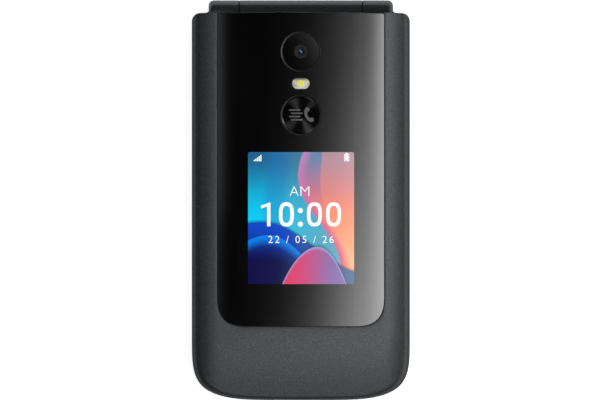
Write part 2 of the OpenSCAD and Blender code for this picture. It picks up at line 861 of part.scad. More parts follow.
module lid_inner_housing() {
    soft = 0.6; // rounding around the inner face
    slot_step = 1.4;
    color(body_grey)
        difference() {
            union() {
                difference() {
                    hull() {
                        for (i = [0:3])
                            let (a = 30 * i)
                                slab(lid_plan(soft * (1 - sin(a)), 0),
                                    lid_low + soft * (1 - cos(a)), lid_low + soft * (1 - cos(a)) + eps);
                        slab(lid_plan(0, 0), lid_seam - eps, lid_seam);
                    }
                    slab(lid_plan(wall_t, lid_end_wall), face_top, lid_seam + 1);
                    swing_room();
                }
                barrel(barrel_r, -middle_w / 2, middle_w / 2);
                for (p = lid_screw_xy)
                    disc(p[0], p[1], boss_r, face_top - eps, lid_seam);
            }
            plate(0, window_y, window_w + 2 * fit, window_l + 2 * fit, window_r + fit, lid_low - 1, window_top);
            block([-view_w / 2, view_w / 2], [view_y - view_l / 2, view_y + view_l / 2],
                [lid_low, face_top + 1]);
            for (y = [-1:1])
                plate(0, earpiece_y + slot_step * y, 6.5, 0.7, 0.3, lid_low - 1, face_top + eps);
            for (p = lid_screw_xy) {
                disc(p[0], p[1], bumper_r + fit, lid_low - 1, base_top + bumper_t + fit);
                disc(p[0], p[1], head_r + 0.1, lid_low - 1, lid_low + bumper_t);
                disc(p[0], p[1], screw_r + 0.1, lid_low - 1, lid_seam + 1);
            }
            barrel(can_r + fit, can_from - fit, middle_w / 2 + 1);
            barrel(pin_r + run_gap, -middle_w / 2 - 1, -hollow_x + 0.1);
        }
}

// Outer half of the lid: rounded edges under a crowned top
module lid_blank() {
    edge_top = body_t - crown + 0.16;
    intersection() {
        hull() {
            slab(lid_plan(0, 0), lid_seam, lid_seam + eps);
            for (i = [0:6])
                let (a = 15 * i)
                    slab(lid_plan(lid_round * (1 - cos(a)), 0.6 * (1 - cos(a))),
                        edge_top - lid_round * (1 - sin(a)) - eps, edge_top - lid_round * (1 - sin(a)));
            slab(lid_plan(lid_round + 14, 0.6), body_t + 0.1, body_t + 0.1 + eps);
        }
        under_crown(0);
    }
}

module lid_front_housing()
    color(body_grey)
        difference() {
            union() {
                difference() {
                    lid_blank();
                    slab(lid_plan(wall_t + 0.1, lid_end_wall), lid_seam - 1, lid_ceiling);
                    swing_room();
                    barrel(recess_r, -recess_w / 2, recess_w / 2);
                }
                for (p = lid_screw_xy)
                    disc(p[0], p[1], boss_r, lid_seam, lid_ceiling + eps);
            }
            difference() {
                translate([0, 0, lid_seam])
                    linear_extrude(far)
                        panel(fit);
                under_crown(panel_t + fit);
            }
            block([-outer_w / 2 - loose, outer_w / 2 + loose], [outer_low - loose, outer_high + loose],
                [lid_ceiling - 1, far]);
            disc(0, call_y, call_r + button_gap + fit, lid_seam, far);
            disc(0, camera_y, camera_nose_r + 0.3, lid_seam, far);
            translate([0, flash_y, lid_seam])
                linear_extrude(far)
                    flash_outline(fit);
            for (p = lid_screw_xy)
                disc(p[0], p[1], screw_r + fit, lid_seam - 1, lid_ceiling - 0.4);
        }

module outer_window()
    color(gloss_black)
        difference() {
            intersection() {
                translate([0, 0, lid_seam])
                    linear_extrude(far)
                        panel(0);
                under_crown(0);
            }
            under_crown(panel_t);
            disc(0, call_y, call_r + button_gap, 0, far);
            disc(0, camera_y, ring_r + fit, 0, far);
            translate([0, flash_y, 0])
                linear_extrude(far)
                    flash_outline(fit);
        }

module outer_display()
    color([0.1, 0.2, 0.35])
        plate(0, (outer_low + outer_high) / 2, outer_w, outer_high - outer_low, 0.5,
            outer_z, outer_z + outer_t);

module inner_window()
    color(gloss_black)
        plate(0, window_y, window_w, window_l, window_r, window_low, window_top - eps);

module main_display()
    color([0.1, 0.2, 0.35])
        plate(0, window_y, main_w, main_l, 0.5, main_low, main_low + main_t);

module lid_frame() {
    reach = lid_half - 2.3;
    end = camera_y - camera_w / 2 - 1;
    frame_high = frame_low + frame_t;
    color(steel)
        difference() {
            block([-reach, reach], [window_low_y, end], [frame_low, frame_high]);
            plate(0, window_low_y + 11.5, main_w * 0.4, 6, 1, frame_low - 1, frame_high + 1);
            plate(lid_half / 2, end - 5.8, 8, 4, 1, frame_low - 1, frame_high + 1);
        }
}

module lid_board() {
    reach = outer_w / 2 + 2;
    chip_h = 0.8;
    chips = [[-13, call_y + 0.8, 6, 6], [12, flash_y - 2.45, 5, 4], [12, call_y - 2.2, 4, 5]];
    color(board_green) {
        block([-reach, reach], [outer_low - 1.8, camera_y - camera_w / 2 - 0.6],
            [lid_board_low, lid_board_top]);
        for (chip = chips)
            block([chip[0] - chip[2] / 2, chip[0] + chip[2] / 2], [chip[1] - chip[3] / 2, chip[1] + chip[3] / 2],
                [lid_board_top - eps, lid_board_top + chip_h]);
    }
}

module call_switch() {
    top = button_flange - key_travel - fit;
    half = 2.25;
    stem_r = 1.2;
    color(steel) {
        block([-half, half], [call_y - half, call_y + half], [lid_board_top, top - 0.15]);
        disc(0, call_y, stem_r, lid_board_top, top);
    }
}

module call_button()
    color(gloss_black) {
        disc(0, call_y, call_r + button_reach, button_flange, button_flange + button_flange_t);
        disc(0, call_y, call_r, button_flange, button_top);
    }

module camera_module() {
    nose_top = body_t - panel_t - 0.3;
    pit = 0.6;
    color([0.08, 0.08, 0.09]) {
        block([-camera_w / 2, camera_w / 2], [camera_y - camera_w / 2, camera_y + camera_w / 2],
            [lid_seam, lid_ceiling - 0.1]);
        difference() {
            disc(0, camera_y, camera_nose_r, lid_ceiling - 0.2, nose_top);
            translate([0, camera_y, nose_top - pit + eps])
                cylinder(r1 = 1, r2 = 1.9, h = pit);
        }
    }
}

module camera_cover()
    color(gloss_black)
        disc(0, camera_y, ring_r - ring_t - fit, body_t - panel_t, button_top - 0.15);

module camera_ring()
    color(steel)
        difference() {
            disc(0, camera_y, ring_r, body_t - panel_t, body_t - window_well / 2);
            disc(0, camera_y, ring_r - ring_t, 0, far);
        }

module flash_lens()
    color([0.9, 0.88, 0.7])
        translate([0, flash_y, button_flange]) {
            linear_extrude(button_top - button_flange)
                flash_outline(0);
            linear_extrude(button_flange_t)
                flash_outline(0.4);
        }

module flash_led()
    color("yellow")
        block([-1.6, 1.6], [flash_y - 1.1, flash_y + 1.1], [lid_board_top, button_flange - fit]);

module earpiece()
    color([0.2, 0.2, 0.2])
        plate(0, earpiece_y, earpiece_w, earpiece_l, earpiece_r, face_top + fit, face_top + fit + earpiece_t);

module lid_screws() {
    low = base_top + bumper_t + fit;
    high = lid_low + bumper_t;
    color(steel)
        for (p = lid_screw_xy)
            difference() {
                union() {
                    disc(p[0], p[1], head_r, low, high);
                    disc(p[0], p[1], screw_r, high - eps, lid_ceiling - 0.6);
                }
                cross_recess(p, low - 0.2);
            }
}

module lid_bumpers()
    color([0.1, 0.1, 0.1])
        for (p = lid_screw_xy)
            disc(p[0], p[1], bumper_r, base_top, base_top + bumper_t);

rear_housing();
keypad_housing();
main_board();
shield_cans();
dome_sheet();
battery_contacts();
sim_holder();
sim_card();
usb_socket();
headphone_socket();
microphone();
loudspeaker();
vibration_motor();
antenna_carrier();
base_screws();
hinge_shaft();
hinge_hollow_pin();
battery_cover();
battery();
volume_rocker();
nav_ring();
ok_key();
for (k = keypad) key(k);
lid_inner_housing();
lid_front_housing();
outer_window();
outer_display();
inner_window();
main_display();
lid_frame();
lid_board();
call_switch();
call_button();
camera_module();
camera_cover();
camera_ring();
flash_lens();
flash_led();
earpiece();
lid_screws();
lid_bumpers();
hinge_spring_can();
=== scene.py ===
"""Looks of a clamshell phone: its moulded housings, gloss outer panel, screens, keys and metal parts."""

import json
import math
from functools import partialmethod

import bmesh
import bpy
import numpy as np
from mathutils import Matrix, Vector


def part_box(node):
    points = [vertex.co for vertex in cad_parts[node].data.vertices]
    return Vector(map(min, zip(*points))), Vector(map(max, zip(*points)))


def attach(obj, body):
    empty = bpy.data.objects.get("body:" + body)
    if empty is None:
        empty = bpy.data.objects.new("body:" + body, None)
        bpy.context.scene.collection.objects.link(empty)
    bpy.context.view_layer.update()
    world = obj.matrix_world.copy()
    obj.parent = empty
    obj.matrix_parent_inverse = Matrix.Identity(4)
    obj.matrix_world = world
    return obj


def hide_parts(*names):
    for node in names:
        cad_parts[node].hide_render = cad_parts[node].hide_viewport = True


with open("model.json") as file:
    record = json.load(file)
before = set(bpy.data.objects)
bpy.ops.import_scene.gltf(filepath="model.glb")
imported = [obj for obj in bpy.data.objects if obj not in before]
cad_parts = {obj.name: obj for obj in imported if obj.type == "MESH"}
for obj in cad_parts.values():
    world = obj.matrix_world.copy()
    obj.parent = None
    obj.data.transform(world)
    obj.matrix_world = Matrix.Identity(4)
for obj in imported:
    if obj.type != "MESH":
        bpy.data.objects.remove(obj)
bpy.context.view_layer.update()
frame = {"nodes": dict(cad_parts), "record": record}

# ---- Sizes of the phone, in millimetres, in the same frame as its solids

MM = 0.001
TURN = 2 * math.pi
TINY = 1e-5
WELD = 1e-4  # points closer than this become one
FINE = 1500  # how many points a curve is drawn with before it is spread out evenly
BODY_TOP = 19.2
LID_HALF = 28.5
LID_CHIN = -52.1
LID_END = 49.3
SIDE_Y = LID_CHIN + 18.05  # where the straight sides start
CHIN_POWER = 4.6
CORNER_R = 2.1
END_BOW = 0.4  # how far the hinge end bows out in its middle
CROWN = 0.8
EDGE_REACH = 2.2  # how far in the rolled edge of the lid starts at its sides
CHIN_EDGE_REACH = 0.7  # and at its chin
END_EDGE_REACH = 0.04  # and at the hinge
SIDE_BEND = 0.24  # slope of the lid's top where its edge starts to roll, at the sides
CHIN_BEND = 0.135  # and at the chin
CHIN_REACH = 16.7  # over this length the top bends down to that slope
LID_SEAM = 14.2
LID_CEILING = 17.0
WALL = 1.5  # of the lid's front housing
ROOM_END = 6.4  # how far its inside ends before the hinge end
HINGE = Vector((0, 48.4, 11.2))
BARREL_R = 4.0
BARREL_END = 24.15
END_ROUND = 0.9
SOFTER = 1.5  # how much larger the rounding of the barrel's ends is made
SPLIT_FROM, SPLIT_TO = 15.9, 16.31  # the splits between the knuckles
RECESS_R = 4.25  # the room in the lid around the barrel
RECESS_HALF = 24.4
PANEL_HALF = 21.77
PANEL_LOW = LID_CHIN + 19.2
PANEL_END = LID_END - 0.3
PANEL_CORNER = 8.5
PANEL_POWER = 2.93
PANEL_T = 1.0
TOP_LIFT = 0.03  # the panel lies this far under the outermost surface, for what is printed on it
SCREEN = (-13.78, 13.9, -21.85, 12.58)  # what shows of the outer display: x and y from, to
CAMERA_Y = 38.8
CALL_Y = 22.2
FLASH_Y = 30.48
CALL_R = 5.15
FACE_R = 4.65  # the button's face, with the height of its rim and how much its middle stands above that
FACE_RIM = 18.93
FACE_DOME = 0.03
SEAT_LOW, SEAT_HIGH = 16.65, 16.95  # the flanges of the button and the flash
TIP = 19.1  # their highest points
NAV_Y = 27.5
KEY_TOP = 11.15
KEY_CROWN = 0.1
KEY_EDGE = 0.32
FLANGE_LOW, FLANGE_HIGH = 9.3, 9.75
INNER_SCREEN = (-22.8, 22.8, -37.5, 22.5)
INK = 0.02  # how far signs stand above what carries them, and on flat faces reach below it
KEY_INK = 0.025  # the same on the keys
SIGN_ROOT = 0.03  # how far signs on a curved face reach below it

SLOT_OF = {part["node"]: part["material_slot"] for part in frame["record"]["subparts"]}
BODY_OF = {
    node: body
    for body, nodes in frame["record"]["behaviour"]["bodies"].items()
    for node in nodes
}


# ---- Values and materials

class Value:
    """A number that a node tree works out at each point, so that sums are written as sums."""

    def __init__(self, tree, socket):
        self.tree = tree
        self.socket = socket

    def math(self, operation, *others):
        """This and any others, put through one operation."""
        return step(self.tree, "ShaderNodeMath", dict(enumerate((self, *others))), operation=operation)

    def __rtruediv__(self, other):
        return step(self.tree, "ShaderNodeMath", {0: other, 1: self}, operation="DIVIDE")

    def __neg__(self):
        return self * -1.0

    __add__ = __radd__ = partialmethod(math, "ADD")
    __mul__ = __rmul__ = partialmethod(math, "MULTIPLY")
    __sub__ = partialmethod(math, "SUBTRACT")
    __rsub__ = partialmethod(math, "MULTIPLY_ADD", -1.0)
    __truediv__ = partialmethod(math, "DIVIDE")
    __pow__ = partialmethod(math, "POWER")
    sine = partialmethod(math, "SINE")
    root = partialmethod(math, "SQRT")
    size = partialmethod(math, "ABSOLUTE")
    at_least = partialmethod(math, "MAXIMUM")
    at_most = partialmethod(math, "MINIMUM")

    def degrees(self, other):
        """The angle, in degrees, whose tangent is this over the other."""
        return self.math("ARCTAN2", other) * (180 / math.pi)

    def slope(self, low, high):
        """0 below low, 1 above high, and a smooth rise between them."""
        links = {"Value": self, "From Min": low, "From Max": high}
        return step(self.tree, "ShaderNodeMapRange", links, interpolation_type="SMOOTHSTEP")

    def logistic(self, steepness):
        """0 far below zero, 1 far above it, and a rise as steep as this."""
        return 1.0 / ((self * -steepness).math("EXPONENT") + 1.0)

    def parts(self):
        """The x, y and z of a place."""
        node = self.tree.nodes.new("ShaderNodeSeparateXYZ")
        feed(self.tree, self, node.inputs[0])
        return [Value(self.tree, socket) for socket in node.outputs]


def feed(tree, item, place):
    """Links a value to a node's input, or sets the input to a constant."""
    if isinstance(item, Value):
        tree.links.new(item.socket, place)
    else:
        place.default_value = item


def step(tree, kind, links=None, output=0, **settings):
    """Adds one node, sets it, feeds its inputs by name or place, and returns one output."""
    node = tree.nodes.new(kind)
    for key, value in settings.items():
        setattr(node, key, value)
    for place, item in (links or {}).items():
        feed(tree, item, node.inputs[place])
    return Value(tree, node.outputs[output])


def end_at(tree, kind, item):
    """Adds the tree's last node, which takes this item."""
    feed(tree, item, tree.nodes.new(kind).inputs[0])


def distance(x, y):
    """How far a place lies from the origin, worked out in a node tree."""
    return (x * x + y * y).root()


def srgb(red, green, blue):
    """A colour as it is seen, 0 to 255, made the light that a material reflects."""
    def linear(c):
        c /= 255
        return c / 12.92 if c <= 0.04045 else ((c + 0.055) / 1.055) ** 2.4
    return (linear(red), linear(green), linear(blue), 1.0)


class Finish:
    """One material, built on the piece's own coordinates in millimetres."""

    def __init__(self, name, colour, rough, **constants):
        self.material = bpy.data.materials.new(name)
        self.material.use_nodes = True
        self.tree = self.material.node_tree
        self.shader = self.tree.nodes["Principled BSDF"]
        self.rough = rough
        for label, constant in {"Base_Color": colour, "Roughness": rough, **constants}.items():
            self.give(label.replace("_", " "), constant)
        place = self.add("ShaderNodeTexCoord", output="Object")
        self.point = self.add("ShaderNodeVectorMath", {0: place, "Scale": 1 / MM}, operation="SCALE")
        self.x, self.y, _ = self.point.parts()

    def add(self, kind, links=None, output=0, **settings):
        return step(self.tree, kind, links, output, **settings)

    def give(self, place, item):
        feed(self.tree, item, self.shader.inputs[place])

    def noise(self, size, detail=2.0, rough=0.5, stretch=None):
        """Soft noise from 0 to 1 with lumps of about this size."""
        point = self.point
        if stretch:
            point = self.add("ShaderNodeVectorMath", {0: point, 1: stretch}, operation="MULTIPLY")
        links = {"Vector": point, "Scale": 1 / size, "Detail": detail, "Roughness": rough}
        return self.add("ShaderNodeTexNoise", links)

    def from_dots(self, size):
        """How far each point lies from the middle of its cell, with cells of about this size."""
        return self.add("ShaderNodeTexVoronoi", {"Vector": self.point, "Scale": 1 / size}, "Distance")

    def mix(self, factor, first, second):
        """The first colour where the factor is 0, and the second where it is 1."""
        return self.add("ShaderNodeMix", {0: factor, 6: first, 7: second}, 2, data_type="RGBA")

    def paint(self, colour):
        self.give("Base Color", colour)

    def roughen(self, amount):
        self.give("Roughness", amount + self.rough)

    def bump(self, height, depth):
        links = {"Strength": 1.0, "Distance": depth * MM, "Height": height}
        self.give("Normal", self.add("ShaderNodeBump", links))

    def glow(self, colour, strength):
        self.give("Emission Color", colour)
        self.give("Emission Strength", strength)


def tint(colour, factor):
    """The same colour, this many times as bright."""
    return (*(c * factor for c in colour[:3]), 1.0)


def moulded_plastic(name, colour, rough, grain=0.16, flake=0.3, depth=0.006, speckle=0.5, **constants):
    """Fine-grained moulding with a faint metallic sparkle and a slow drift of tone."""
    finish = Finish(name, colour, rough, **constants)
    drift = finish.noise(9.0, 3.0)
    fine = finish.noise(grain, 2.0, 0.7)
    sparkle = finish.noise(grain * 1.3, 0.0).slope(0.66, 0.8)
    base = finish.mix(drift, tint(colour, 0.93), tint(colour, 1.07))
    base = finish.mix(fine.slope(0.34, 0.68), base, tint(colour, 1 + 0.3 * speckle))
    finish.paint(finish.mix(sparkle * flake, base, tint(colour, 3.2)))
    finish.roughen(fine * 0.12 - 0.06)
    finish.bump(fine, depth)
    return finish


def metal(name, colour, rough, brushed=(1.0, 1.0, 1.0)):
    """Metal with fine streaks, drawn out where the grain is squeezed across them."""
    finish = Finish(name, colour, rough, Metallic=1.0)
    streak = finish.noise(0.5, 4.0, 0.6, brushed)
    finish.paint(finish.mix(streak, tint(colour, 0.82), tint(colour, 1.12)))
    finish.roughen(streak * 0.16 - 0.06)
    finish.bump(streak, 0.004)
    return finish


def waves(finish, x, y):
    """A lit picture: smooth overlapping bands in teal, blue, violet and coral. x and y run from 0 to 1."""
    mix = finish.mix
    sky = mix(y.slope(0.45, 1.0), srgb(0, 205, 247), srgb(27, 96, 140))
    sky = mix(x.slope(0.05, 0.85) * 0.8, sky, srgb(84, 150, 170))
    glint = (x * 3.3 + y * 0.9 + (y * 4.1).sine() * 0.35).sine()
    sky = mix(glint.slope(0.9, 1.0) * 0.35, sky, srgb(18, 112, 190))

    shore = x - 0.66 - (y * 5.4 + 0.6).sine() * 0.13 - (0.5 - y) * 0.22
    coral = mix(y.slope(0.1, 0.72), srgb(255, 176, 122), srgb(246, 120, 104))
    coral = mix(y.slope(0.5, 0.8), coral, srgb(178, 118, 150))
    coral = mix(y.slope(0.72, 1.0), coral, srgb(98, 132, 172))
    coral = mix(shore.slope(0.0, 0.12), mix(y, srgb(222, 50, 90), srgb(196, 132, 190)), coral)
    inner = shore - 0.16 - (y * 7.0 + 2.0).sine() * 0.05
    coral = mix(inner.slope(0.0, 0.012) * 0.35, coral, srgb(255, 150, 96))
    picture = mix(shore.slope(0.0, 0.012), sky, coral)

    deep = 0.43 + (x * 4.4 + 0.4).sine() * 0.09 - x * 0.24 - y
    blue = mix(deep.slope(0.0, 0.3), srgb(10, 72, 200), srgb(8, 8, 70))
    blue = mix(x.slope(0.25, 0.8), blue, srgb(20, 84, 134))
    fold = deep - 0.13 + (x * 6.0).sine() * 0.04
    blue = mix(fold.slope(0.0, 0.01) * (1.0 - fold.slope(0.0, 0.1)), blue, srgb(0, 130, 235))
    picture = mix(deep.slope(-0.02, 0.0) * 0.55, picture, srgb(4, 10, 30))
    picture = mix(deep.slope(0.0, 0.008), picture, blue)

    hill = 0.3 - (x - 0.62) * (x - 0.62) * 3.4 + (x * 9.0).sine() * 0.025 - y
    violet = mix(x.slope(0.4, 0.85), srgb(222, 66, 112), srgb(128, 96, 165))
    violet = mix(hill.slope(0.0, 0.035), srgb(160, 160, 225), violet)
    picture = mix(hill.slope(-0.025, 0.0) * 0.5, picture, srgb(30, 20, 50))
    return mix(hill.slope(0.0, 0.01), picture, violet)


def screen_finish(name, area, flipped=False):
    """The part of a window that its display lights up, under the same gloss."""
    finish = Finish(name, (0.004, 0.004, 0.005, 1), 0.03)
    x0, x1, y0, y1 = area
    half_x, half_y = (x1 - x0) / 2, (y1 - y0) / 2
    corner, blur = 0.5, 0.03
    over_x = ((finish.x - (x0 + half_x)).size() - (half_x - corner)).at_least(0.0)
    over_y = ((finish.y - (y0 + half_y)).size() - (half_y - corner)).at_least(0.0)
    inside = 1.0 - distance(over_x, over_y).slope(corner - blur, corner + blur)
    x = (finish.x - x0) / (x1 - x0)
    y = (finish.y - y0) / (y1 - y0)
    picture = waves(finish, x, 1.0 - y if flipped else y)
    finish.glow(finish.mix(inside, (0, 0, 0, 1), picture), 1.0)
    finish.roughen(finish.noise(3.0, 3.0).slope(0.4, 0.8) * 0.03)
    return finish


def gloss_panel(name):
    """Back-printed black plastic: deep gloss, with faint wipe marks and hairlines."""
    black = (0.0019, 0.002, 0.0022, 1)
    finish = Finish(name, black, 0.035)
    smear = finish.noise(7.0, 4.0, 0.6, (1.0, 0.35, 1.0)).slope(0.45, 0.85)
    hair = finish.noise(0.6, 2.0, 0.5, (1.0, 0.03, 1.0)).slope(0.72, 0.8)
    finish.paint(finish.mix(smear * 0.5, black, (0.0034, 0.0036, 0.0038, 1)))
    finish.roughen(smear * 0.03 + hair * 0.04)
    return finish


def black_gloss(name, rough=0.07, **constants):
    """Small black parts, a little worn."""
    black = (0.003, 0.003, 0.0032, 1)
    finish = Finish(name, black, rough, **constants)
    wear = finish.noise(0.8, 3.0)
    finish.paint(finish.mix(wear, tint(black, 0.8), tint(black, 1.5)))
    finish.roughen(wear * 0.04)
    return finish


def circuit_board(name):
    """Green solder mask over copper: tracks at right angles, and gilt pads."""
    green = (0.012, 0.075, 0.035, 1)
    finish = Finish(name, green, 0.38)
    track = (finish.x * 3.1 + finish.noise(4.0, 0.0) * 9.0).sine().size()
    across = (finish.y * 3.1 + finish.noise(5.0, 0.0) * 9.0).sine().size()
    lines = 1.0 - track.at_most(across).slope(0.1, 0.25)
    pads = 1.0 - finish.from_dots(1.9).slope(0.16, 0.2)
    base = finish.mix(lines * 0.55, green, (0.03, 0.16, 0.06, 1))
    finish.paint(finish.mix(pads, base, (0.75, 0.55, 0.22, 1)))
    finish.bump(lines, 0.02)
    return finish


def battery_wrap(name):
    """Dark printed film with soft creases."""
    finish = Finish(name, (0.02, 0.022, 0.026, 1), 0.3)
    crease = finish.noise(5.0, 4.0, 0.55, (0.5, 1.0, 1.0))
    finish.paint(finish.mix(crease, (0.016, 0.018, 0.022, 1), (0.035, 0.038, 0.045, 1)))
    finish.bump(crease, 0.08)
    return finish


def fine_grained(name, colour, rough, grain, depth):
    """One even colour with a fine grain."""
    finish = Finish(name, colour, rough)
    finish.bump(finish.noise(grain), depth)
    return finish


SATIN_EDGE = (0.12, 0.12, 0.12, 1)  # how little the satin moulding mirrors at its outline
PALE = srgb(214, 222, 232)


def make_finishes():
    """The finish of each material slot, and of the details that have one of their own."""
    plastic = moulded_plastic
    grey = (0.0402, 0.0419, 0.0437, 1)
    barrel = (0.029, 0.0312, 0.0328, 1)
    finish = {
        "body_plastic": plastic("Satin grey moulding", grey, 0.37, grain=0.25, flake=0.22, speckle=2.6,
                                Metallic=0.65, Specular_Tint=SATIN_EDGE),
        "rocker_plastic": plastic("Rocker moulding", tint(grey, 0.62), 0.4, Metallic=0.5),
        "cover_plastic": plastic("Cover moulding", grey, 0.48, grain=0.24, depth=0.012, Metallic=0.4),
        "barrel": plastic("Polished barrel moulding", barrel, 0.22, grain=0.3, flake=0.0, depth=0.001,
                          Metallic=0.5, Specular_IOR_Level=0.9, Specular_Tint=(0.86, 0.86, 0.88, 1)),
        "key_plastic": plastic("Key moulding", (0.03, 0.031, 0.034, 1), 0.34, flake=0.15, depth=0.003),
        "socket_plastic": plastic("Socket moulding", (0.02, 0.02, 0.022, 1), 0.4, flake=0.0),
        "carrier_plastic": plastic("Carrier moulding", (0.5, 0.49, 0.44, 1), 0.5, flake=0.0),
        "film": plastic("Dome film", (0.62, 0.63, 0.64, 1), 0.35, grain=0.4, flake=0.0, depth=0.003),
        "rubber": plastic("Rubber", (0.012, 0.012, 0.013, 1), 0.78, grain=0.1, flake=0.0, depth=0.01),
        # Painted shade: a near-black, barely mirroring finish for the splits between the hinge knuckles
        "shadow_gap": black_gloss("Painted shade in the splits", rough=0.8, Specular_IOR_Level=0.1),
        "camera_ring": black_gloss("Black trim"),
        "panel": gloss_panel("Gloss black panel"),
        "display": gloss_panel("Display edge"),
        "camera_glass": gloss_panel("Camera glass"),
        "ring_metal": metal("Satin ring", (0.3, 0.31, 0.33, 1), 0.32),
        "steel": metal("Stamped steel", (0.6, 0.6, 0.59, 1), 0.3, (1.0, 0.08, 1.0)),
        "frame_metal": metal("Brushed frame", (0.55, 0.56, 0.58, 1), 0.34, (0.06, 1.0, 1.0)),
        "gold": metal("Gilt contact", (0.85, 0.6, 0.24, 1), 0.22),
        "board": circuit_board("Circuit board"),
        "battery_skin": battery_wrap("Battery wrap"),
        "led": fine_grained("Phosphor", srgb(236, 214, 60), 0.6, grain=0.1, depth=0.02),
    }
    for slot, same in (("window", "panel"), ("lens", "camera_glass"), ("button_black", "camera_ring")):
        finish[slot] = finish[same]
    return finish


FINISH = make_finishes()


# ---- Making pieces

DRESSED = set()  # the nodes that a finished piece stands for


def settle(obj, node, replace=True):
    """Rides on the node's body, and stands for the node unless it is an extra to it."""
    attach(obj, BODY_OF[node])
    if replace:
        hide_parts(node)
        DRESSED.add(node)


def new_object(name, data):
    obj = bpy.data.objects.new(name, data)
    bpy.context.scene.collection.objects.link(obj)
    return obj


def shaded(name, mesh, finishes, sharp):
    """An object in these finishes, smooth except along edges sharper than this angle."""
    for finish in finishes:
        mesh.materials.append(finish.material)
    mesh.shade_smooth()
    mesh.set_sharp_from_angle(angle=math.radians(sharp))
    return new_object(name, mesh)


def from_bmesh(name, bm, finishes, sharp=30):
    """bm is in millimetres; the piece comes out in metres."""
    bmesh.ops.remove_doubles(bm, verts=bm.verts, dist=WELD)
    bmesh.ops.recalc_face_normals(bm, faces=bm.faces)
    bmesh.ops.scale(bm, vec=(MM, MM, MM), verts=bm.verts)
    mesh = bpy.data.meshes.new(name)
    bm.to_mesh(mesh)
    bm.free()
    return shaded(name, mesh, finishes, sharp)


def soften(obj, width):
    """A small rounding along every sharp edge."""
    bevel = obj.modifiers.new("Edge rounding", "BEVEL")
    bevel.width = width * MM
    bevel.segments = 2
    bevel.limit_method = "ANGLE"
    bevel.angle_limit = math.radians(32)
    bevel.use_clamp_overlap = True
    bevel.miter_outer = "MITER_ARC"
    bevel.harden_normals = True


def solid_copy(node):
    """A node's own shape in millimetres, with its triangles joined and its flat faces whole."""
    bm = bmesh.new()
    bm.from_mesh(frame["nodes"][node].data)
    bmesh.ops.scale(bm, vec=(1 / MM,) * 3, verts=bm.verts)
    bmesh.ops.remove_doubles(bm, verts=bm.verts, dist=WELD)
    bmesh.ops.dissolve_limit(
        bm, angle_limit=math.radians(0.4), verts=bm.verts[:], edges=bm.edges[:], delimit=set()
    )
    return bm


def give_finishes(bm, choose):
    """Sets which of its finishes each face takes, from the face's middle."""
    for face in bm.faces:
        face.material_index = int(choose(face.calc_center_median()))


def dress(node, finishes=None, width=0.08, choose=None, change=None, name=None):
    """The node's own shape as a finished piece: smooth curves, rounded edges and its material."""
    bm = solid_copy(node)
    if change:
        change(bm)
    if choose:
        give_finishes(bm, choose)
    obj = from_bmesh(name or "dressed_" + node, bm, finishes or [FINISH[SLOT_OF[node]]])
    if width:
        soften(obj, width)
    settle(obj, node)


def skin(bm, first, second):
    """Faces between two closed rows of points."""
    for k, point in enumerate(first):
        n = (k + 1) % len(first)
        bm.faces.new((point, first[n], second[n], second[k]))


def bridge(bm, rings, wrap):
    """Skins between rings of points, and from the last to the first where it wraps."""
    rows = [[bm.verts.new(point) for point in ring] for ring in rings]
    for first, second in zip(rows, rows[1:]):
        skin(bm, first, second)
    if wrap:
        skin(bm, rows[-1], rows[0])
    return rows


def slice_at(bm, axis, places):
    """Cuts every face that crosses one of these places along the axis: 0 for x, 1 for y."""
    across = Vector((0, 0, 0))
    across[axis] = 1
    for place in places:
        geometry = bm.verts[:] + bm.edges[:] + bm.faces[:]
        bmesh.ops.bisect_plane(bm, geom=geometry, plane_co=across * place, plane_no=across)


def slice_around(bm, area):
    """Cuts faces along all four sides of an area."""
    slice_at(bm, 0, area[:2])
    slice_at(bm, 1, area[2:])


def within(place, area):
    """Whether a place lies in an area, given as x from and to, y from and to."""
    return area[0] < place.x < area[1] and area[2] < place.y < area[3]


def map_around(bm, centre_y):
    """A map that runs once around the axis, to tell a turned finish which way its grooves run."""
    around = bm.loops.layers.uv.new("around")
    for face in bm.faces:
        middle = face.calc_center_median()
        base = math.atan2(middle.y - centre_y, middle.x)
        for loop in face.loops:
            x, y = loop.vert.co.x, loop.vert.co.y - centre_y
            radius = math.hypot(x, y)
            angle = base if radius < TINY else math.atan2(y, x)
            angle += TURN * round((base - angle) / TURN)
            loop[around].uv = (angle / TURN, radius / 10)


def turned(name, node, centre_y, profile, finishes, segments=96, choose=None, change=None, replace=True):
    """A piece turned from a profile of (radius, height) about an upright axis at x = 0.

    The profile starts and ends on the axis, or it closes on itself.
    """
    bm = bmesh.new()
    angles = np.linspace(0, TURN, segments, endpoint=False)
    rings = [
        [(r * math.cos(a), centre_y + r * math.sin(a), z) for a in angles]
        for r, z in profile if r > TINY
    ]
    on_axis = [end for end in (0, -1) if profile[end][0] < TINY]
    rows = bridge(bm, rings, wrap=not on_axis)
    for end in on_axis:
        tip = bm.verts.new((0, centre_y, profile[end][1]))
        for first, second in zip(rows[end], rows[end][1:] + rows[end][:1]):
            bm.faces.new((first, second, tip))
    if change:
        change(bm)
    if choose:
        give_finishes(bm, choose)
    map_around(bm, centre_y)
    settle(from_bmesh(name, bm, finishes), node, replace)


# ---- Outlines of the lid and its panel

def spread(points, count):
    """The same line as count + 1 evenly spaced points."""
    points = np.asarray(points, float)
    steps = np.hypot(*np.diff(points, axis=0).T)
    along = np.concatenate([[0], np.cumsum(steps)])
    want = np.linspace(0, along[-1], count + 1)
    return np.stack([np.interp(want, along, points[:, i]) for i in (0, 1)], 1)


def superellipse(centre, rx, ry, power, degrees):
    """Points at these angles of an oval that is squarer the higher the power is."""
    angle = np.radians(degrees)
    c, s = np.cos(angle), np.sin(angle)
    return np.stack([
        centre[0] + rx * np.sign(c) * np.abs(c) ** (2 / power),
        centre[1] + ry * np.sign(s) * np.abs(s) ** (2 / power),
    ], 1)


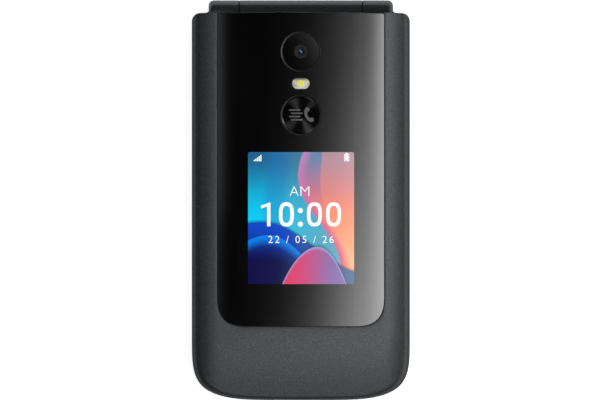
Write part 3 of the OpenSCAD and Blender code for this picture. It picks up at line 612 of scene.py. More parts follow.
def circle(r, count=96):
    return [(r * math.cos(a), r * math.sin(a)) for a in np.linspace(0, TURN, count, endpoint=False)]


def stadium(width, length, count=40):
    """The outline of a slot with round ends."""
    r, reach = length / 2, (width - length) / 2
    return [
        (side * (reach + r * math.cos(a)), side * r * math.sin(a))
        for side in (1, -1) for a in np.linspace(-math.pi / 2, math.pi / 2, count // 2 + 1)
    ]


def bar(x0, x1, y, width):
    """The outline of a level bar with round ends."""
    return [(px + (x0 + x1) / 2, py + y) for px, py in stadium(x1 - x0, width, 16)]


def end_line(x):
    """How far the bowed hinge end lies back from its middle."""
    return -END_BOW * (x / (LID_HALF - CORNER_R)) ** 2


def whole(chin, half, side_from, end, r):
    """A closed outline from its chin curve, straight side, corner and bowed end, mirrored to the left."""
    corner_y = end + end_line(half - r) - r
    side = spread([(half, side_from), (half, corner_y)], 30)[1:]
    corner = superellipse((half - r, corner_y), r, r, 2, np.linspace(0, 90, FINE))
    x = np.linspace(half - r, 0, 15)[1:]
    top = np.stack([x, end + end_line(x)], 1)
    right = np.concatenate([chin, side, spread(corner, 8)[1:], top])
    left = right[-2:0:-1] * (-1, 1)
    return np.concatenate([right, left])


def lid_outline(inset=0.0, end_inset=0.0, chin_inset=0.0):
    """The lid's plan, drawn in by these amounts at its sides, its hinge end and its chin."""
    half = LID_HALF - inset
    reach = SIDE_Y - LID_CHIN - chin_inset
    chin = superellipse((0, SIDE_Y), half, reach, CHIN_POWER, np.linspace(270, 360, FINE))
    return whole(spread(chin, 44), half, SIDE_Y, LID_END - end_inset, max(CORNER_R - inset, 0.3))


def panel_outline(gap):
    """The panel's plan, drawn out by this gap."""
    half = PANEL_HALF + gap
    low = PANEL_LOW - gap
    corner = PANEL_CORNER + gap
    middle = (half - corner, low + corner)
    curve = superellipse(middle, corner, corner, PANEL_POWER, np.linspace(270, 360, FINE))
    chin = spread(np.concatenate([[(0, low)], curve]), 44)
    return whole(chin, half, low + corner, PANEL_END + gap, 0.3)


def crown(x):
    """Height of the lid's top before its edge starts to bend down."""
    return BODY_TOP - CROWN * (x / LID_HALF) ** 2


def lid_surface(points):
    """The lid's top: crowned across, and bending down ever more towards its sides and chin."""
    x, y = points[:, 0], points[:, 1]
    rim = LID_HALF - EDGE_REACH
    side = np.clip(np.abs(x) - PANEL_HALF, 0, None)
    chin = np.clip(PANEL_LOW - y, 0, None)
    side_drop = SIDE_BEND / (2 * (rim - PANEL_HALF)) * side ** 2
    chin_drop = CHIN_BEND / (2 * CHIN_REACH) * chin ** 2
    return crown(x) - side_drop - chin_drop


def at_height(points, z):
    """Points of a plan, each with its height."""
    return np.column_stack([points, np.broadcast_to(z, len(points))])


def hinge_ring(x, r, count):
    """Points around the hinge's axis."""
    angles = np.linspace(0, TURN, count, endpoint=False)
    return [(x, HINGE.y + r * math.cos(a), HINGE.z + r * math.sin(a)) for a in angles]


# ---- The lid

OPENING_GAP = 0.26
OPENING_LIP = [(0.18, 0.01), (0.13, 0.04), (0.11, 0.09)]  # the edge of the panel's opening, as gap and drop
LEDGE_WIDTH = 1.2  # of what the panel lies on
LEDGE_GAP = 0.05


def front_housing_rings():
    """From the lid's seam over its rolled edge to the panel's opening, and back inside to the seam."""
    outer = lid_outline()
    rim = lid_outline(EDGE_REACH, END_EDGE_REACH, CHIN_EDGE_REACH)
    rim_z = lid_surface(rim)
    depth = np.clip(np.hypot(*(outer - rim).T), CHIN_EDGE_REACH, EDGE_REACH)
    upright, first = math.radians(90), math.asin(SIDE_BEND)
    rings = [at_height(outer, LID_SEAM)]
    for i in range(11):
        a = upright * (1 - i / 10) + first * i / 10
        inset = (1 - math.sin(a)) / (1 - math.sin(first))
        fall = (math.cos(first) - math.cos(a)) / (1 - math.sin(first))
        outline = lid_outline(EDGE_REACH * inset, END_EDGE_REACH * inset, CHIN_EDGE_REACH * inset)
        rings.append(at_height(outline, rim_z - depth * fall))
    opening = panel_outline(OPENING_GAP)
    for s in (0.012, 0.04, *np.linspace(0.1, 1, 10)):
        points = rim * (1 - s) + opening * s
        rings.append(at_height(points, lid_surface(points)))
    for gap, drop in OPENING_LIP:
        lip = panel_outline(gap)
        rings.append(at_height(lip, lid_surface(lip) - drop))
    ledge = panel_outline(-LEDGE_WIDTH)
    for points in (lip, ledge):
        rings.append(at_height(points, crown(points[:, 0]) - PANEL_T - LEDGE_GAP))
    room = lid_outline(WALL, ROOM_END, WALL)
    for points, z in ((ledge, LID_CEILING), (room, LID_CEILING), (room, LID_SEAM)):
        rings.append(at_height(points, z))
    return rings


def plain_mesh(obj, name):
    """The object with its modifiers applied, as a new mesh; the object is removed."""
    graph = bpy.context.evaluated_depsgraph_get()
    graph.update()
    mesh = bpy.data.meshes.new_from_object(obj.evaluated_get(graph), depsgraph=graph)
    mesh.name = name
    bpy.data.objects.remove(obj)
    return mesh


def hinge_room():
    """The room around the hinge barrel that the lid's end leaves free, as a solid to cut with."""
    count = 96
    ends = [hinge_ring(x, RECESS_R, count) for x in (-RECESS_HALF, RECESS_HALF)]
    faces = [(k, (k + 1) % count, count + (k + 1) % count, count + k) for k in range(count)]
    faces += [tuple(range(count))[::-1], tuple(range(count, 2 * count))]
    mesh = bpy.data.meshes.new("cutter")
    mesh.from_pydata([Vector(point) * MM for end in ends for point in end], [], faces)
    return new_object("cutter", mesh)


def make_lid_front():
    """The lid's front housing, with room for the hinge barrel cut out of its end."""
    bm = bmesh.new()
    bridge(bm, front_housing_rings(), wrap=True)
    draft = from_bmesh("draft", bm, [FINISH["body_plastic"]])
    room = hinge_room()
    cut = draft.modifiers.new("Hinge room", "BOOLEAN")
    cut.operation = "DIFFERENCE"
    cut.solver = "EXACT"
    cut.object = room
    mesh = plain_mesh(draft, "lid_front_shell")
    bpy.data.objects.remove(room)
    for face in mesh.polygons:
        x, y, z = face.center / MM
        above_panel = y > PANEL_END - 0.05 and abs(x) < PANEL_HALF and z > BODY_TOP - 1.5
        face.material_index = int(above_panel)
    settle(shaded("lid_front_shell", mesh, [FINISH["panel"]], 32), "lid_front_housing")


def close_below(bm):
    """Joins a sheet along every edge to a copy of itself, whose points it returns."""
    rim = [edge for edge in bm.edges if edge.is_boundary]
    pairs = [(edge.verts[0], edge.verts[1]) for edge in rim]
    copy = bmesh.ops.duplicate(bm, geom=bm.verts[:] + bm.edges[:] + bm.faces[:])
    below = copy["vert_map"]
    for first, second in pairs:
        bm.faces.new((first, second, below[second], below[first]))
    return [item for item in copy["geom"] if isinstance(item, bmesh.types.BMVert)]


PANEL_EDGE = [(0.0, 0.08), (0.02, 0.03), (0.06, 0.0)]  # its rounding, as inset and drop
PANEL_FOLDS = (0.25, 0.5, 0.8, 1.2, 1.6, 2, 2.5, 3, 3.6, 4.3, 5)  # where its sides are cut so that they bend
PANEL_HOLES = [(circle(CALL_R + 0.15), CALL_Y), (circle(5.28), CAMERA_Y), (stadium(4.86, 3.08), FLASH_Y)]
HOLE_CHAMFER = 0.05
ROLL_REACH = 5.0  # how far in the panel starts to bend down, and how far it drops
ROLL_DROP = 0.038


def panel_height(x):
    """Height of the panel's face, which bends down towards its two long sides."""
    bend = max(0.0, 1 - (PANEL_HALF - abs(x)) / ROLL_REACH)
    return crown(x) - TOP_LIFT - ROLL_DROP * bend ** 3


def edges_around(bm, row):
    return [bm.edges.get(pair) for pair in zip(row, row[1:] + row[:1])]


def panel_sheet():
    """The panel's upper side, laid flat: with its holes, and cut into strips so that it can bend."""
    bm = bmesh.new()
    rows = bridge(bm, [at_height(panel_outline(-inset), -drop) for inset, drop in PANEL_EDGE], wrap=False)
    edges = edges_around(bm, rows[-1])
    for points, y in PANEL_HOLES:
        ring = [bm.verts.new((px, py + y, -0.6 * HOLE_CHAMFER)) for px, py in points]
        sizes = [1 + HOLE_CHAMFER / math.hypot(px, py) for px, py in points]
        outer = [bm.verts.new((px * size, py * size + y, 0)) for (px, py), size in zip(points, sizes)]
        skin(bm, outer, ring)
        edges += edges_around(bm, outer)
    bmesh.ops.triangle_fill(bm, use_beauty=True, edges=edges)
    slice_at(bm, 0, np.arange(-18, 18.1, 1.5))
    slice_at(bm, 0, [side * (PANEL_HALF - inset) for side in (-1, 1) for inset in PANEL_FOLDS])
    slice_at(bm, 1, np.arange(-30, 48.1, 6.0))
    slice_around(bm, SCREEN)
    bm.normal_update()
    for face in bm.faces:
        if face.normal.z < 0:
            face.normal_flip()
    return bm


def make_outer_panel():
    """The gloss panel: crowned across, its sides bent down, with holes for camera, flash and button."""
    bm = panel_sheet()
    below = close_below(bm)
    for vert in bm.verts:
        vert.co.z += panel_height(vert.co.x)
    for vert in below:
        vert.co.z = crown(vert.co.x) - PANEL_T
    give_finishes(bm, lambda middle: within(middle, SCREEN) and middle.z > crown(middle.x) - 0.2)
    finishes = [FINISH["panel"], screen_finish("Outer screen", SCREEN)]
    settle(from_bmesh("outer_panel", bm, finishes, sharp=28), "outer_window")


# ---- Camera, flash and call button

COVER_RISE, COVER_FALL = 0.001, 0.00195  # how the camera cover bends up along the phone, and down across
FLASH_WIDTH, FLASH_LENGTH = 4.75, 3.02
# Painted highlight sectors on the call button's face, lighter in its colour at these angles
PAINTED_HIGHLIGHT_SECTORS = ((118, 26, 0.9), (45, 20, 0.5), (-62, 24, 1.0), (-138, 26, 0.7))  # middle, half, level
MARK_BARS = (  # x from, x to and y, from the button's middle
    (-3.13, -0.12, 1.34), (-2.61, 0.46, 0.49), (-3.13, -0.12, -0.35), (-2.61, 0.42, -1.2),
)
HANDSET_AT = (0.0, 0.24, 0.5, 0.76, 1.0)  # how far along it these points lie: x, y and half its thickness
HANDSET = ((-0.5, 0, 0.205), (-0.33, 0.215, 0.14), (0, 0.293, 0.12), (0.33, 0.215, 0.14), (0.5, 0, 0.205))


def rounded(profile, r):
    """The same profile of (radius, height), each corner with a third number rounded to that many times r."""
    steps = 4
    line = []
    for k, point in enumerate(profile):
        if len(point) < 3:
            line.append(point)
            continue
        here = Vector(point[:2])
        before = Vector(profile[k - 1][:2]) - here
        after = Vector(profile[(k + 1) % len(profile)][:2]) - here
        reach = min(r * point[2], before.length * 0.49, after.length * 0.49)
        before, after = before.normalized(), after.normalized()
        start, end = here + before * reach, here + after * reach
        hold = 0.15 * reach  # keeps the flats beside the corner flat
        line.append(tuple(start + before * hold))
        for t in np.linspace(0, 1, steps + 1):
            line.append(tuple(start * (1 - t) ** 2 + here * 2 * t * (1 - t) + end * t ** 2))
        line.append(tuple(end + after * hold))
    return line


def spun_metal(name):
    """Black metal turned on a lathe, with fine grooves, and a painted highlight in sectors that run to its
    centre.
    """
    finish = Finish(name, (0.01, 0.01, 0.01, 1), 0.34, Metallic=1.0, Anisotropic=0.8)
    finish.give("Tangent", finish.add("ShaderNodeTangent", direction_type="UV_MAP", uv_map="around"))
    y = finish.y - CALL_Y
    radius = distance(finish.x, y)
    groove = (radius * 52.0 + finish.noise(0.7, 0.0) * 3.0).sine() * 0.5 + 0.5
    around = y.degrees(finish.x)
    gleam = sum(
        (1.0 - (around - middle).size() / half_width).at_least(0.0).slope(0.0, 1.0) * level
        for middle, half_width, level in PAINTED_HIGHLIGHT_SECTORS
    )
    dark = finish.mix(groove, (0.0008, 0.0008, 0.0008, 1), (0.0028, 0.0028, 0.0028, 1))
    # Painted highlight: the sectors are lightened in the colour itself, and fade out towards the centre
    finish.paint(finish.mix(gleam * radius.slope(0.2, 2.2), dark, (0.022, 0.022, 0.0222, 1)))
    finish.roughen(groove * 0.08)
    return finish


def call_face(x, y):
    """Height of the button's slightly domed face."""
    return FACE_RIM + FACE_DOME * (1 - (math.hypot(x, y - CALL_Y) / FACE_R) ** 2)


def make_call_button():
    rim = [(0, SEAT_LOW), (5.95, SEAT_LOW, 1), (5.95, SEAT_HIGH, 1), (CALL_R, SEAT_HIGH),
           (CALL_R, TIP - 0.05, 0.2), (CALL_R - 0.06, TIP, 0.2), (CALL_R - 0.18, TIP - 0.1, 0.2),
           (CALL_R - 0.47, TIP - 0.17, 0.2)]
    face = [(r, call_face(r, CALL_Y)) for r in np.linspace(FACE_R, 0, 10)]

    def on_face(middle):
        return middle.z > 18.9 and math.hypot(middle.x, middle.y - CALL_Y) < CALL_R - 0.46

    finishes = [FINISH["camera_ring"], spun_metal("Spun black metal with painted highlights")]
    profile = rounded(rim, 0.1) + face
    turned("call_button_cap", "call_button", CALL_Y, profile, finishes, 128, choose=on_face)


def prism(bm, outline, low, high, surface=None):
    """An upright block over its outline, from low to high, counted from the surface where one is given."""
    under, over = (
        [bm.verts.new((x, y, lift + (surface(x, y) if surface else 0.0))) for x, y in outline]
        for lift in (low, high)
    )
    bm.faces.new(under[::-1])
    bm.faces.new(over)
    skin(bm, under, over)


def handset(length, turn, place):
    """The outline of a telephone handset: a bowed grip with a round end at each side, this far apart."""
    t = np.linspace(0, 1, 41)
    x, y, half = (np.polyval(np.polyfit(HANDSET_AT, row, 4), t) for row in zip(*HANDSET))
    dx, dy = np.gradient(x), np.gradient(y)
    out = np.stack([-dy, dx], 1) / np.hypot(dx, dy)[:, None] * half[:, None]
    line = np.stack([x, y], 1)

    def end_cap(k, side):
        x, y = side * out[k]
        angles = math.atan2(y, x) - np.linspace(0, math.pi, 13)[1:-1]
        return line[k] + half[k] * np.stack([np.cos(angles), np.sin(angles)], 1)

    points = np.concatenate([line + out, end_cap(-1, 1), (line - out)[::-1], end_cap(0, -1)])
    c, s = math.cos(math.radians(turn)) * length, math.sin(math.radians(turn)) * length
    return [(place[0] + px * c - py * s, place[1] + px * s + py * c) for px, py in points]


def make_button_marks():
    """Four short bars and a handset, printed on the call button."""
    bm = bmesh.new()
    outlines = [bar(x0, x1, CALL_Y + y, 0.37) for x0, x1, y in MARK_BARS]
    outlines.append(handset(2.9, 112.6, (2.24, CALL_Y + 0.13)))
    for outline in outlines:
        prism(bm, outline, -SIGN_ROOT, INK, call_face)
    printed = fine_grained("Printed grey", srgb(92, 92, 94), 0.5, grain=0.08, depth=0.003)
    settle(from_bmesh("call_button_marks", bm, [printed]), "call_button", replace=False)


def lens_glass(name):
    """A dark coated lens, with painted violet-blue glints on either side of its centre and a faint painted
    blue sheen in its middle.
    """
    finish = Finish(name, (0.002, 0.002, 0.003, 1), 0.06)

    # A painted glint: an oval spot of colour at this offset from the lens's centre
    def gleam(dx, dy, size):
        x, y = finish.x - dx, finish.y - CAMERA_Y - dy
        along, across = (x + y) * 0.707, (y - x) * 0.707
        return 1.0 - (along * along * 0.55 + across * across).root().slope(0.0, size)

    # Painted glints and sheen: a light blue spot up left, a deeper blue one down right, and a faint blue one
    # in the middle
    colour = finish.mix(gleam(-0.2, 0.25, 0.36), (0.001, 0.001, 0.002, 1), (0.2, 0.42, 0.72, 1))
    colour = finish.mix(gleam(0.24, -0.3, 0.4), colour, (0.03, 0.1, 0.55, 1))
    colour = finish.mix(gleam(0.05, -0.05, 0.5) * 0.5, colour, (0.01, 0.02, 0.09, 1))
    finish.paint(colour)
    return finish


def ribbed_black(name):
    """The inside of a lens barrel, with fine steps around it."""
    finish = Finish(name, srgb(22, 22, 23), 0.6, Specular_IOR_Level=0.35)
    ribs = (distance(finish.x, finish.y - CAMERA_Y) * 34.0).sine() * 0.5 + 0.5
    finish.paint(finish.mix(ribs, srgb(15, 15, 16), srgb(29, 29, 31)))
    finish.bump(ribs, 0.01)
    return finish


def make_camera():
    """A chamfered ring, the printed cover disc, and the stepped barrel and lens under its clear middle."""
    ring = [(4.84, 18.2, 0.3), (5.23, 18.2, 1), (5.23, 19.15, 0.9), (5.14, 19.15, 0.2), (4.94, 19.0, 0.2),
            (4.92, 18.85, 0.2), (4.84, 18.85, 0.2)]
    turned("camera_trim_ring", "camera_ring", CAMERA_Y, rounded(ring, 0.1), [FINISH["camera_ring"]], 128)

    def bow(bm):
        for vert in bm.verts:
            vert.co.z += COVER_RISE * (vert.co.y - CAMERA_Y) ** 2 - COVER_FALL * vert.co.x ** 2

    cover = [(1.86, 18.2), (4.8, 18.2), (4.8, 18.93), (4.79, 18.95)]
    cover += [(r, 18.95) for r in (*np.linspace(4.7, 2.0, 12), 1.86)]
    glass = [FINISH["camera_glass"]]
    turned("camera_cover_disc", "camera_cover", CAMERA_Y, cover, glass, change=bow)

    barrel = [(0.74, 18.05), (1.82, 18.05), (1.82, 18.8, 1), (1.2, 18.83, 0.5), (1.16, 18.7, 0.5),
              (0.8, 18.6, 0.5), (0.74, 18.5, 0.5)]
    turned("camera_lens_barrel", "camera_module", CAMERA_Y, rounded(barrel, 0.08),
           [ribbed_black("Lens barrel")], 72, replace=False)

    lens_r, low, rise = 0.7, 18.1, 0.36
    dome = [(lens_r * math.sin(a), low + rise * math.cos(a)) for a in np.linspace(1.45, 0, 9)]
    lens = [(0, low), (lens_r, low)] + dome
    turned("camera_lens", "camera_cover", CAMERA_Y, lens, [lens_glass("Coated lens with painted glints")], 64, replace=False)
    dress("camera_module")


def flash_finish(name):
    """A milky ribbed lens in front of a yellow phosphor, brighter towards its lower edge, with a painted glow
    over all of it.
    """
    cream = srgb(216, 212, 188)
    finish = Finish(name, cream, 0.22)
    x, y = finish.x, finish.y - FLASH_Y
    radius = distance(x, y)
    rays = (y.math("ARCTAN2", x) * 17.0 + finish.noise(0.5) * 2.0).sine() * 0.5 + 0.5
    colour = finish.mix(rays * radius.slope(0.7, 1.1) * 0.55, cream, srgb(172, 168, 138))
    colour = finish.mix((x.size() - y).slope(1.3, 2.2) * 0.35, colour, srgb(120, 118, 98))
    colour = finish.mix((-y).slope(0.6, 1.35), colour, srgb(226, 226, 218))
    colour = finish.mix(y.slope(0.55, 1.35) * 0.9, colour, srgb(84, 83, 79))
    colour = finish.mix(1.0 - radius.slope(0.74, 0.92), colour, srgb(250, 238, 58))
    dots = distance(x, y.size() - 0.42)
    colour = finish.mix(1.0 - dots.slope(0.1, 0.26), colour, srgb(255, 250, 190))
    finish.paint(colour)
    # Painted glow: the whole lens sends out a little of its own colour as light, though the flash is off
    finish.glow(colour, 0.2)
    finish.bump(rays, 0.02)
    return finish


def make_flash():
    """The flash's slot-shaped lens: a flange, a narrower neck, and a rounded rim around a hollowed face."""
    steps = [(0.4, SEAT_LOW), (0.4, SEAT_HIGH), (0.0, SEAT_HIGH), (0.0, SEAT_HIGH + 1),
             (-0.07, SEAT_HIGH + 1), (-0.07, TIP - 0.3)]
    for a in np.linspace(0.3, math.pi / 2, 5):
        steps.append((-0.07 - 0.25 * (1 - math.cos(a)), TIP - 0.28 + 0.2 * math.sin(a)))
    for r in (0.7, 1.1, 1.4):
        steps.append((-r, TIP - 0.08 * (1 - r / 1.5) ** 2))
    bm = bmesh.new()
    rings = [
        [(x, y + FLASH_Y, z) for x, y in stadium(FLASH_WIDTH + 2 * grow, FLASH_LENGTH + 2 * grow)]
        for grow, z in steps
    ]
    rows = bridge(bm, rings, wrap=False)
    for row in (rows[0], rows[-1]):
        bm.faces.new(row)
    give_finishes(bm, lambda middle: middle.z < TIP - 0.32)
    finishes = [flash_finish("Ribbed flash lens with painted glow"), FINISH["camera_ring"]]
    settle(from_bmesh("flash_cover", bm, finishes), "flash_lens")
    dress("flash_led")


# ---- Lettering and signs

class Face:
    """What signs stand on: a node, its height at each x and y, and 1 where it faces up or -1 where down."""

    def __init__(self, node, top, side=1):
        self.node = node
        self.top = top
        self.side = side

    def lay(self, bm, centre, scale=1.0):
        """Puts a flat shape in its place here, at this scale, mirrored where the face looks down."""
        for vert in bm.verts:
            x, y = centre[0] + vert.co.x * scale, centre[1] + vert.co.y * scale * self.side
            vert.co = (x, y, self.top(x, y) + vert.co.z * self.side)
        return bm

    def hold(self, name, bm, finish):
        settle(from_bmesh(name, bm, [finish]), self.node, replace=False)


def lettering(name, text, centre, height, face, finish, weight=0.0, thickness=INK, spacing=1.0):
    """Plain letters of this height as thin solids on a face."""
    curve = bpy.data.curves.new(name, "FONT")
    curve.body = text
    curve.align_x, curve.align_y = "CENTER", "CENTER"
    curve.extrude = 0.5
    curve.offset = weight
    curve.space_character = spacing
    curve.resolution_u = 3
    bm = bmesh.new()
    bm.from_mesh(plain_mesh(new_object(name + "_text", curve), name))
    bmesh.ops.remove_doubles(bm, verts=bm.verts, dist=TINY)
    low = Vector(min(v.co[i] for v in bm.verts) for i in range(3))
    high = Vector(max(v.co[i] for v in bm.verts) for i in range(3))
    scale = height / (high.y - low.y)
    half = (high.x - low.x) / 2 * scale
    for vert in bm.verts:
        x = (vert.co.x - (low.x + high.x) / 2) * scale
        y = (vert.co.y - (low.y + high.y) / 2) * scale
        vert.co = (x, y, math.copysign(thickness, vert.co.z))
    slice_at(bm, 0, np.arange(-half, half, 1.5))
    face.hold(name, face.lay(bm, centre), finish)


def lit_sign(name, colour):
    """Light that a screen or a lamp sends through its cover."""
    finish = Finish(name, (0.02, 0.02, 0.02, 1), 0.3)
    finish.glow(finish.mix(finish.noise(0.05, 0.0) * 0.06, colour, tint(colour, 0.8)), 1.0)
    return finish


# ---- Repeated shapes, grown by Geometry Nodes

def flow(name, inputs):
    """An empty geometry tree with these number inputs and a material, and its values by name."""
    tree = bpy.data.node_groups.new(name, "GeometryNodeTree")
    for label, default in inputs.items():
        socket = tree.interface.new_socket(name=label, in_out="INPUT", socket_type="NodeSocketFloat")
        socket.default_value = default
    tree.interface.new_socket(name="Material", in_out="INPUT", socket_type="NodeSocketMaterial")
    tree.interface.new_socket(name="Geometry", in_out="OUTPUT", socket_type="NodeSocketGeometry")
    entry = tree.nodes.new("NodeGroupInput")
    return tree, {label: Value(tree, entry.outputs[label]) for label in (*inputs, "Material")}


def end_flow(tree, geometry, material):
    """Ends a geometry tree: its instances become real, and all of it takes the material."""
    whole_shape = step(tree, "GeometryNodeRealizeInstances", {0: geometry})
    painted = step(tree, "GeometryNodeSetMaterial", {"Geometry": whole_shape, "Material": material})
    end_at(tree, "NodeGroupOutput", painted)
    return tree


def place_at(tree, **parts):
    """A place or a size in a tree, from those of its x, y and z that aren't 0."""
    return step(tree, "ShaderNodeCombineXYZ", {name.upper(): part for name, part in parts.items()})


def cap_tree():
    """A cap with a rounded plan, a crowned top and a rolled edge, closed below. Millimetres."""
    tree, v = flow("Key cap", {
        "Width": 16.0, "Length": 10.0, "Corner": 2.0, "Low": 0.0, "High": 1.0, "Crown": 0.1, "Edge": 0.4,
    })
    width, length, low, edge = v["Width"], v["Length"], v["Low"], v["Edge"]
    grid = {"Size X": 2.0, "Size Y": 2.0, "Vertices X": 29, "Vertices Y": 29}
    sheet = step(tree, "GeometryNodeMeshGrid", grid)
    x, y, _ = step(tree, "GeometryNodeInputPosition").parts()
    ring = x.size().at_least(y.size())
    reach = 1.0 - (1.0 - ring).at_least(0.0) ** 2.0
    scale = reach / ring.at_least(0.0001)
    px, py = x * scale * width * 0.5, y * scale * length * 0.5
    corner = v["Corner"] * reach
    half_x, half_y = width * reach * 0.5 - corner, length * reach * 0.5 - corner
    cx = px.at_most(half_x).at_least(-half_x)
    cy = py.at_most(half_y).at_least(-half_y)
    dx, dy = px - cx, py - cy
    pull = corner / distance(dx, dy).at_least(0.0001)
    to_edge = (1.0 - reach) * width.at_most(length) * 0.5
    roll = (edge - to_edge).at_least(0.0)
    drop = edge - (edge * edge - roll * roll).at_least(0.0).root()
    top = v["High"] - v["Crown"] * reach * reach - drop

    def moved(z):
        spot = place_at(tree, x=cx + dx * pull, y=cy + dy * pull, z=z)
        return step(tree, "GeometryNodeSetPosition", {"Geometry": sheet, "Position": spot})

    upper, lower = moved(top), moved(low)
    edge_count = step(tree, "GeometryNodeInputMeshEdgeNeighbors")
    rim = step(tree, "FunctionNodeCompare", {"A": edge_count, "B": 1}, data_type="INT", operation="EQUAL")
    wall = step(tree, "GeometryNodeExtrudeMesh", {
        "Mesh": upper, "Selection": rim, "Offset": place_at(tree, z=-(v["High"] - v["Crown"] - edge - low)),
        "Offset Scale": 1.0,
    }, mode="EDGES")
    both = tree.nodes.new("GeometryNodeJoinGeometry")
    for part in (lower, wall):
        feed(tree, part, both.inputs[0])
    return end_flow(tree, Value(tree, both.outputs[0]), v["Material"])


def bars_tree():
    """Upright bars in a row, each taller than the last. Millimetres."""
    tree, v = flow("Rising bars", {
        "Count": 4.0, "Pitch": 0.5, "Width": 0.36, "First": 0.3, "Rise": 0.4, "Thick": 0.04,
    })
    count = step(tree, "FunctionNodeFloatToInt", {0: v["Count"]})
    line = step(tree, "GeometryNodeMeshLine", {"Count": count, "Offset": place_at(tree, x=v["Pitch"])})
    height = v["First"] + v["Rise"] * step(tree, "GeometryNodeInputIndex")
    rise = place_at(tree, y=height * 0.5)
    raised = step(tree, "GeometryNodeSetPosition", {"Geometry": line, "Offset": rise})
    bars = step(tree, "GeometryNodeInstanceOnPoints", {
        "Points": raised, "Instance": step(tree, "GeometryNodeMeshCube", {"Size": (1.0, 1.0, 1.0)}),
        "Scale": place_at(tree, x=v["Width"], y=height, z=v["Thick"]),
    })
    return end_flow(tree, bars, v["Material"])


def grown(tree, finish, **inputs):
    """What the tree makes with these inputs, as a bmesh in millimetres."""
    holder = new_object("seed", bpy.data.meshes.new("seed"))
    shape = holder.modifiers.new("Shape", "NODES")
    shape.node_group = tree
    inputs["Material"] = finish.material
    for socket in tree.interface.items_tree:
        if socket.in_out == "INPUT" and socket.name in inputs:
            shape[socket.identifier] = inputs[socket.name]
    bm = bmesh.new()
    bm.from_mesh(plain_mesh(holder, "grown"))
    for face in bm.faces:
        face.material_index = 0
    return bm


def shift(bm, x, y, z=0.0):
    bmesh.ops.translate(bm, vec=(x, y, z), verts=bm.verts)
    return bm


def join(first, *others):
    """All shapes in the first one's bmesh."""
    for other in others:
        mesh = bpy.data.meshes.new("joined")
        other.to_mesh(mesh)
        other.free()
        first.from_mesh(mesh)
    return first


# ---- Keys

CAP = cap_tree()


def key_place(node):
    """The centre and size of a key's cap, from its solid less the flange around it."""
    low, high = (Vector(corner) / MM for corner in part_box(node))
    return ((low.x + high.x) / 2, (low.y + high.y) / 2), high.x - low.x - 1, high.y - low.y - 1


def key_face(node):
    """A key's crowned top, for its sign to stand on."""
    centre, width, length = key_place(node)

    def top(x, y):
        reach = max(abs(x - centre[0]) / width * 2, abs(y - centre[1]) / length * 2)
        return KEY_TOP - KEY_CROWN * min(reach, 1) ** 2

    return Face(node, top)


def make_key(node):
    """A cap over its flange and its post."""
    finish = FINISH["key_plastic"]
    centre, width, length = key_place(node)
    cap = grown(CAP, finish, Width=width, Length=length, Low=FLANGE_LOW + 0.1, High=KEY_TOP,
                Crown=KEY_CROWN, Edge=KEY_EDGE)
    flange = grown(CAP, finish, Width=width + 1, Length=length + 1, Low=FLANGE_LOW, High=FLANGE_HIGH,
                   Crown=0.0, Edge=0.12)
    low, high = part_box(node)[0][2] / MM, FLANGE_HIGH - 0.1
    post = bmesh.new()
    bmesh.ops.create_cone(post, cap_ends=True, segments=32, radius1=1.5, radius2=1.5, depth=high - low)
    parts = join(shift(cap, *centre), shift(flange, *centre), shift(post, *centre, (high + low) / 2))
    settle(from_bmesh(node + "_cap", parts, [finish]), node)


def sign(node, outlines, finish):
    """A lit sign on a key, from outlines around the key's middle."""
    face = key_face(node)
    centre = key_place(node)[0]
    bm = bmesh.new()
    for outline in outlines:
        moved = [(centre[0] + x, centre[1] + y) for x, y in outline]
        prism(bm, moved, -SIGN_ROOT, KEY_INK, face.top)
    face.hold(node + "_sign", bm, finish)


def make_keys():
    white = lit_sign("Backlit white", PALE)
    green = lit_sign("Backlit green", srgb(40, 205, 90))
    red = lit_sign("Backlit red", srgb(235, 60, 52))
    letters = {"key_star": "*", "key_0": "0", "key_hash": "#", "clear_key": "C"}
    letters.update({"key_%d" % n: str(n) for n in range(1, 10)})
    signs = {
        "send_key": ([handset(3.0, 45, (0.35, -0.35))], green),
        "end_key": ([handset(3.0, 0, (0, -0.5))], red),
        "soft_key_left": ([bar(-1.9, 1.9, 0, 0.55)], white),
        "soft_key_right": ([bar(-1.9, 1.9, 0, 0.55)], white),
        "function_key_left": ([bar(-1.6, 1.6, y, 0.42) for y in (-0.9, 0, 0.9)], white),
        "function_key_right": ([circle(1.15, 40)], white),
    }
    for node in (*letters, *signs):
        make_key(node)
        if node in letters:
            high = 2.0 if node == "key_star" else 3.6
            name, centre = node + "_sign", key_place(node)[0]
            lettering(name, letters[node], centre, high, key_face(node), white, 0.01, KEY_INK)
    for node, (outlines, finish) in signs.items():
        sign(node, outlines, finish)


def make_navigation():
    """The direction ring with its four marks, and the OK key."""
    dress("nav_ring", [FINISH["ring_metal"]], 0.3)
    dress("ok_key", width=0.25)
    bm = bmesh.new()
    for c, s, reach in ((1, 0, 9.3), (0, 1, 7.9), (-1, 0, 9.3), (0, -1, 7.9)):
        tip = [(reach, 0), (reach - 0.8, 0.9), (reach - 0.8, -0.9)]
        outline = [(x * c - y * s, x * s + y * c + NAV_Y) for x, y in tip]
        prism(bm, outline, KEY_TOP - 0.05, KEY_TOP + INK)
    marks = from_bmesh("nav_ring_marks", bm, [lit_sign("Backlit mark", PALE)])
    settle(marks, "nav_ring", replace=False)


# ---- What the screens show

DATE = "22 / 05 / 26"
TIME_HEIGHT = 6.45  # what the time's figures are drawn for
STATUS_SCREEN = 34.67  # and the height of the screen that the status line is drawn for


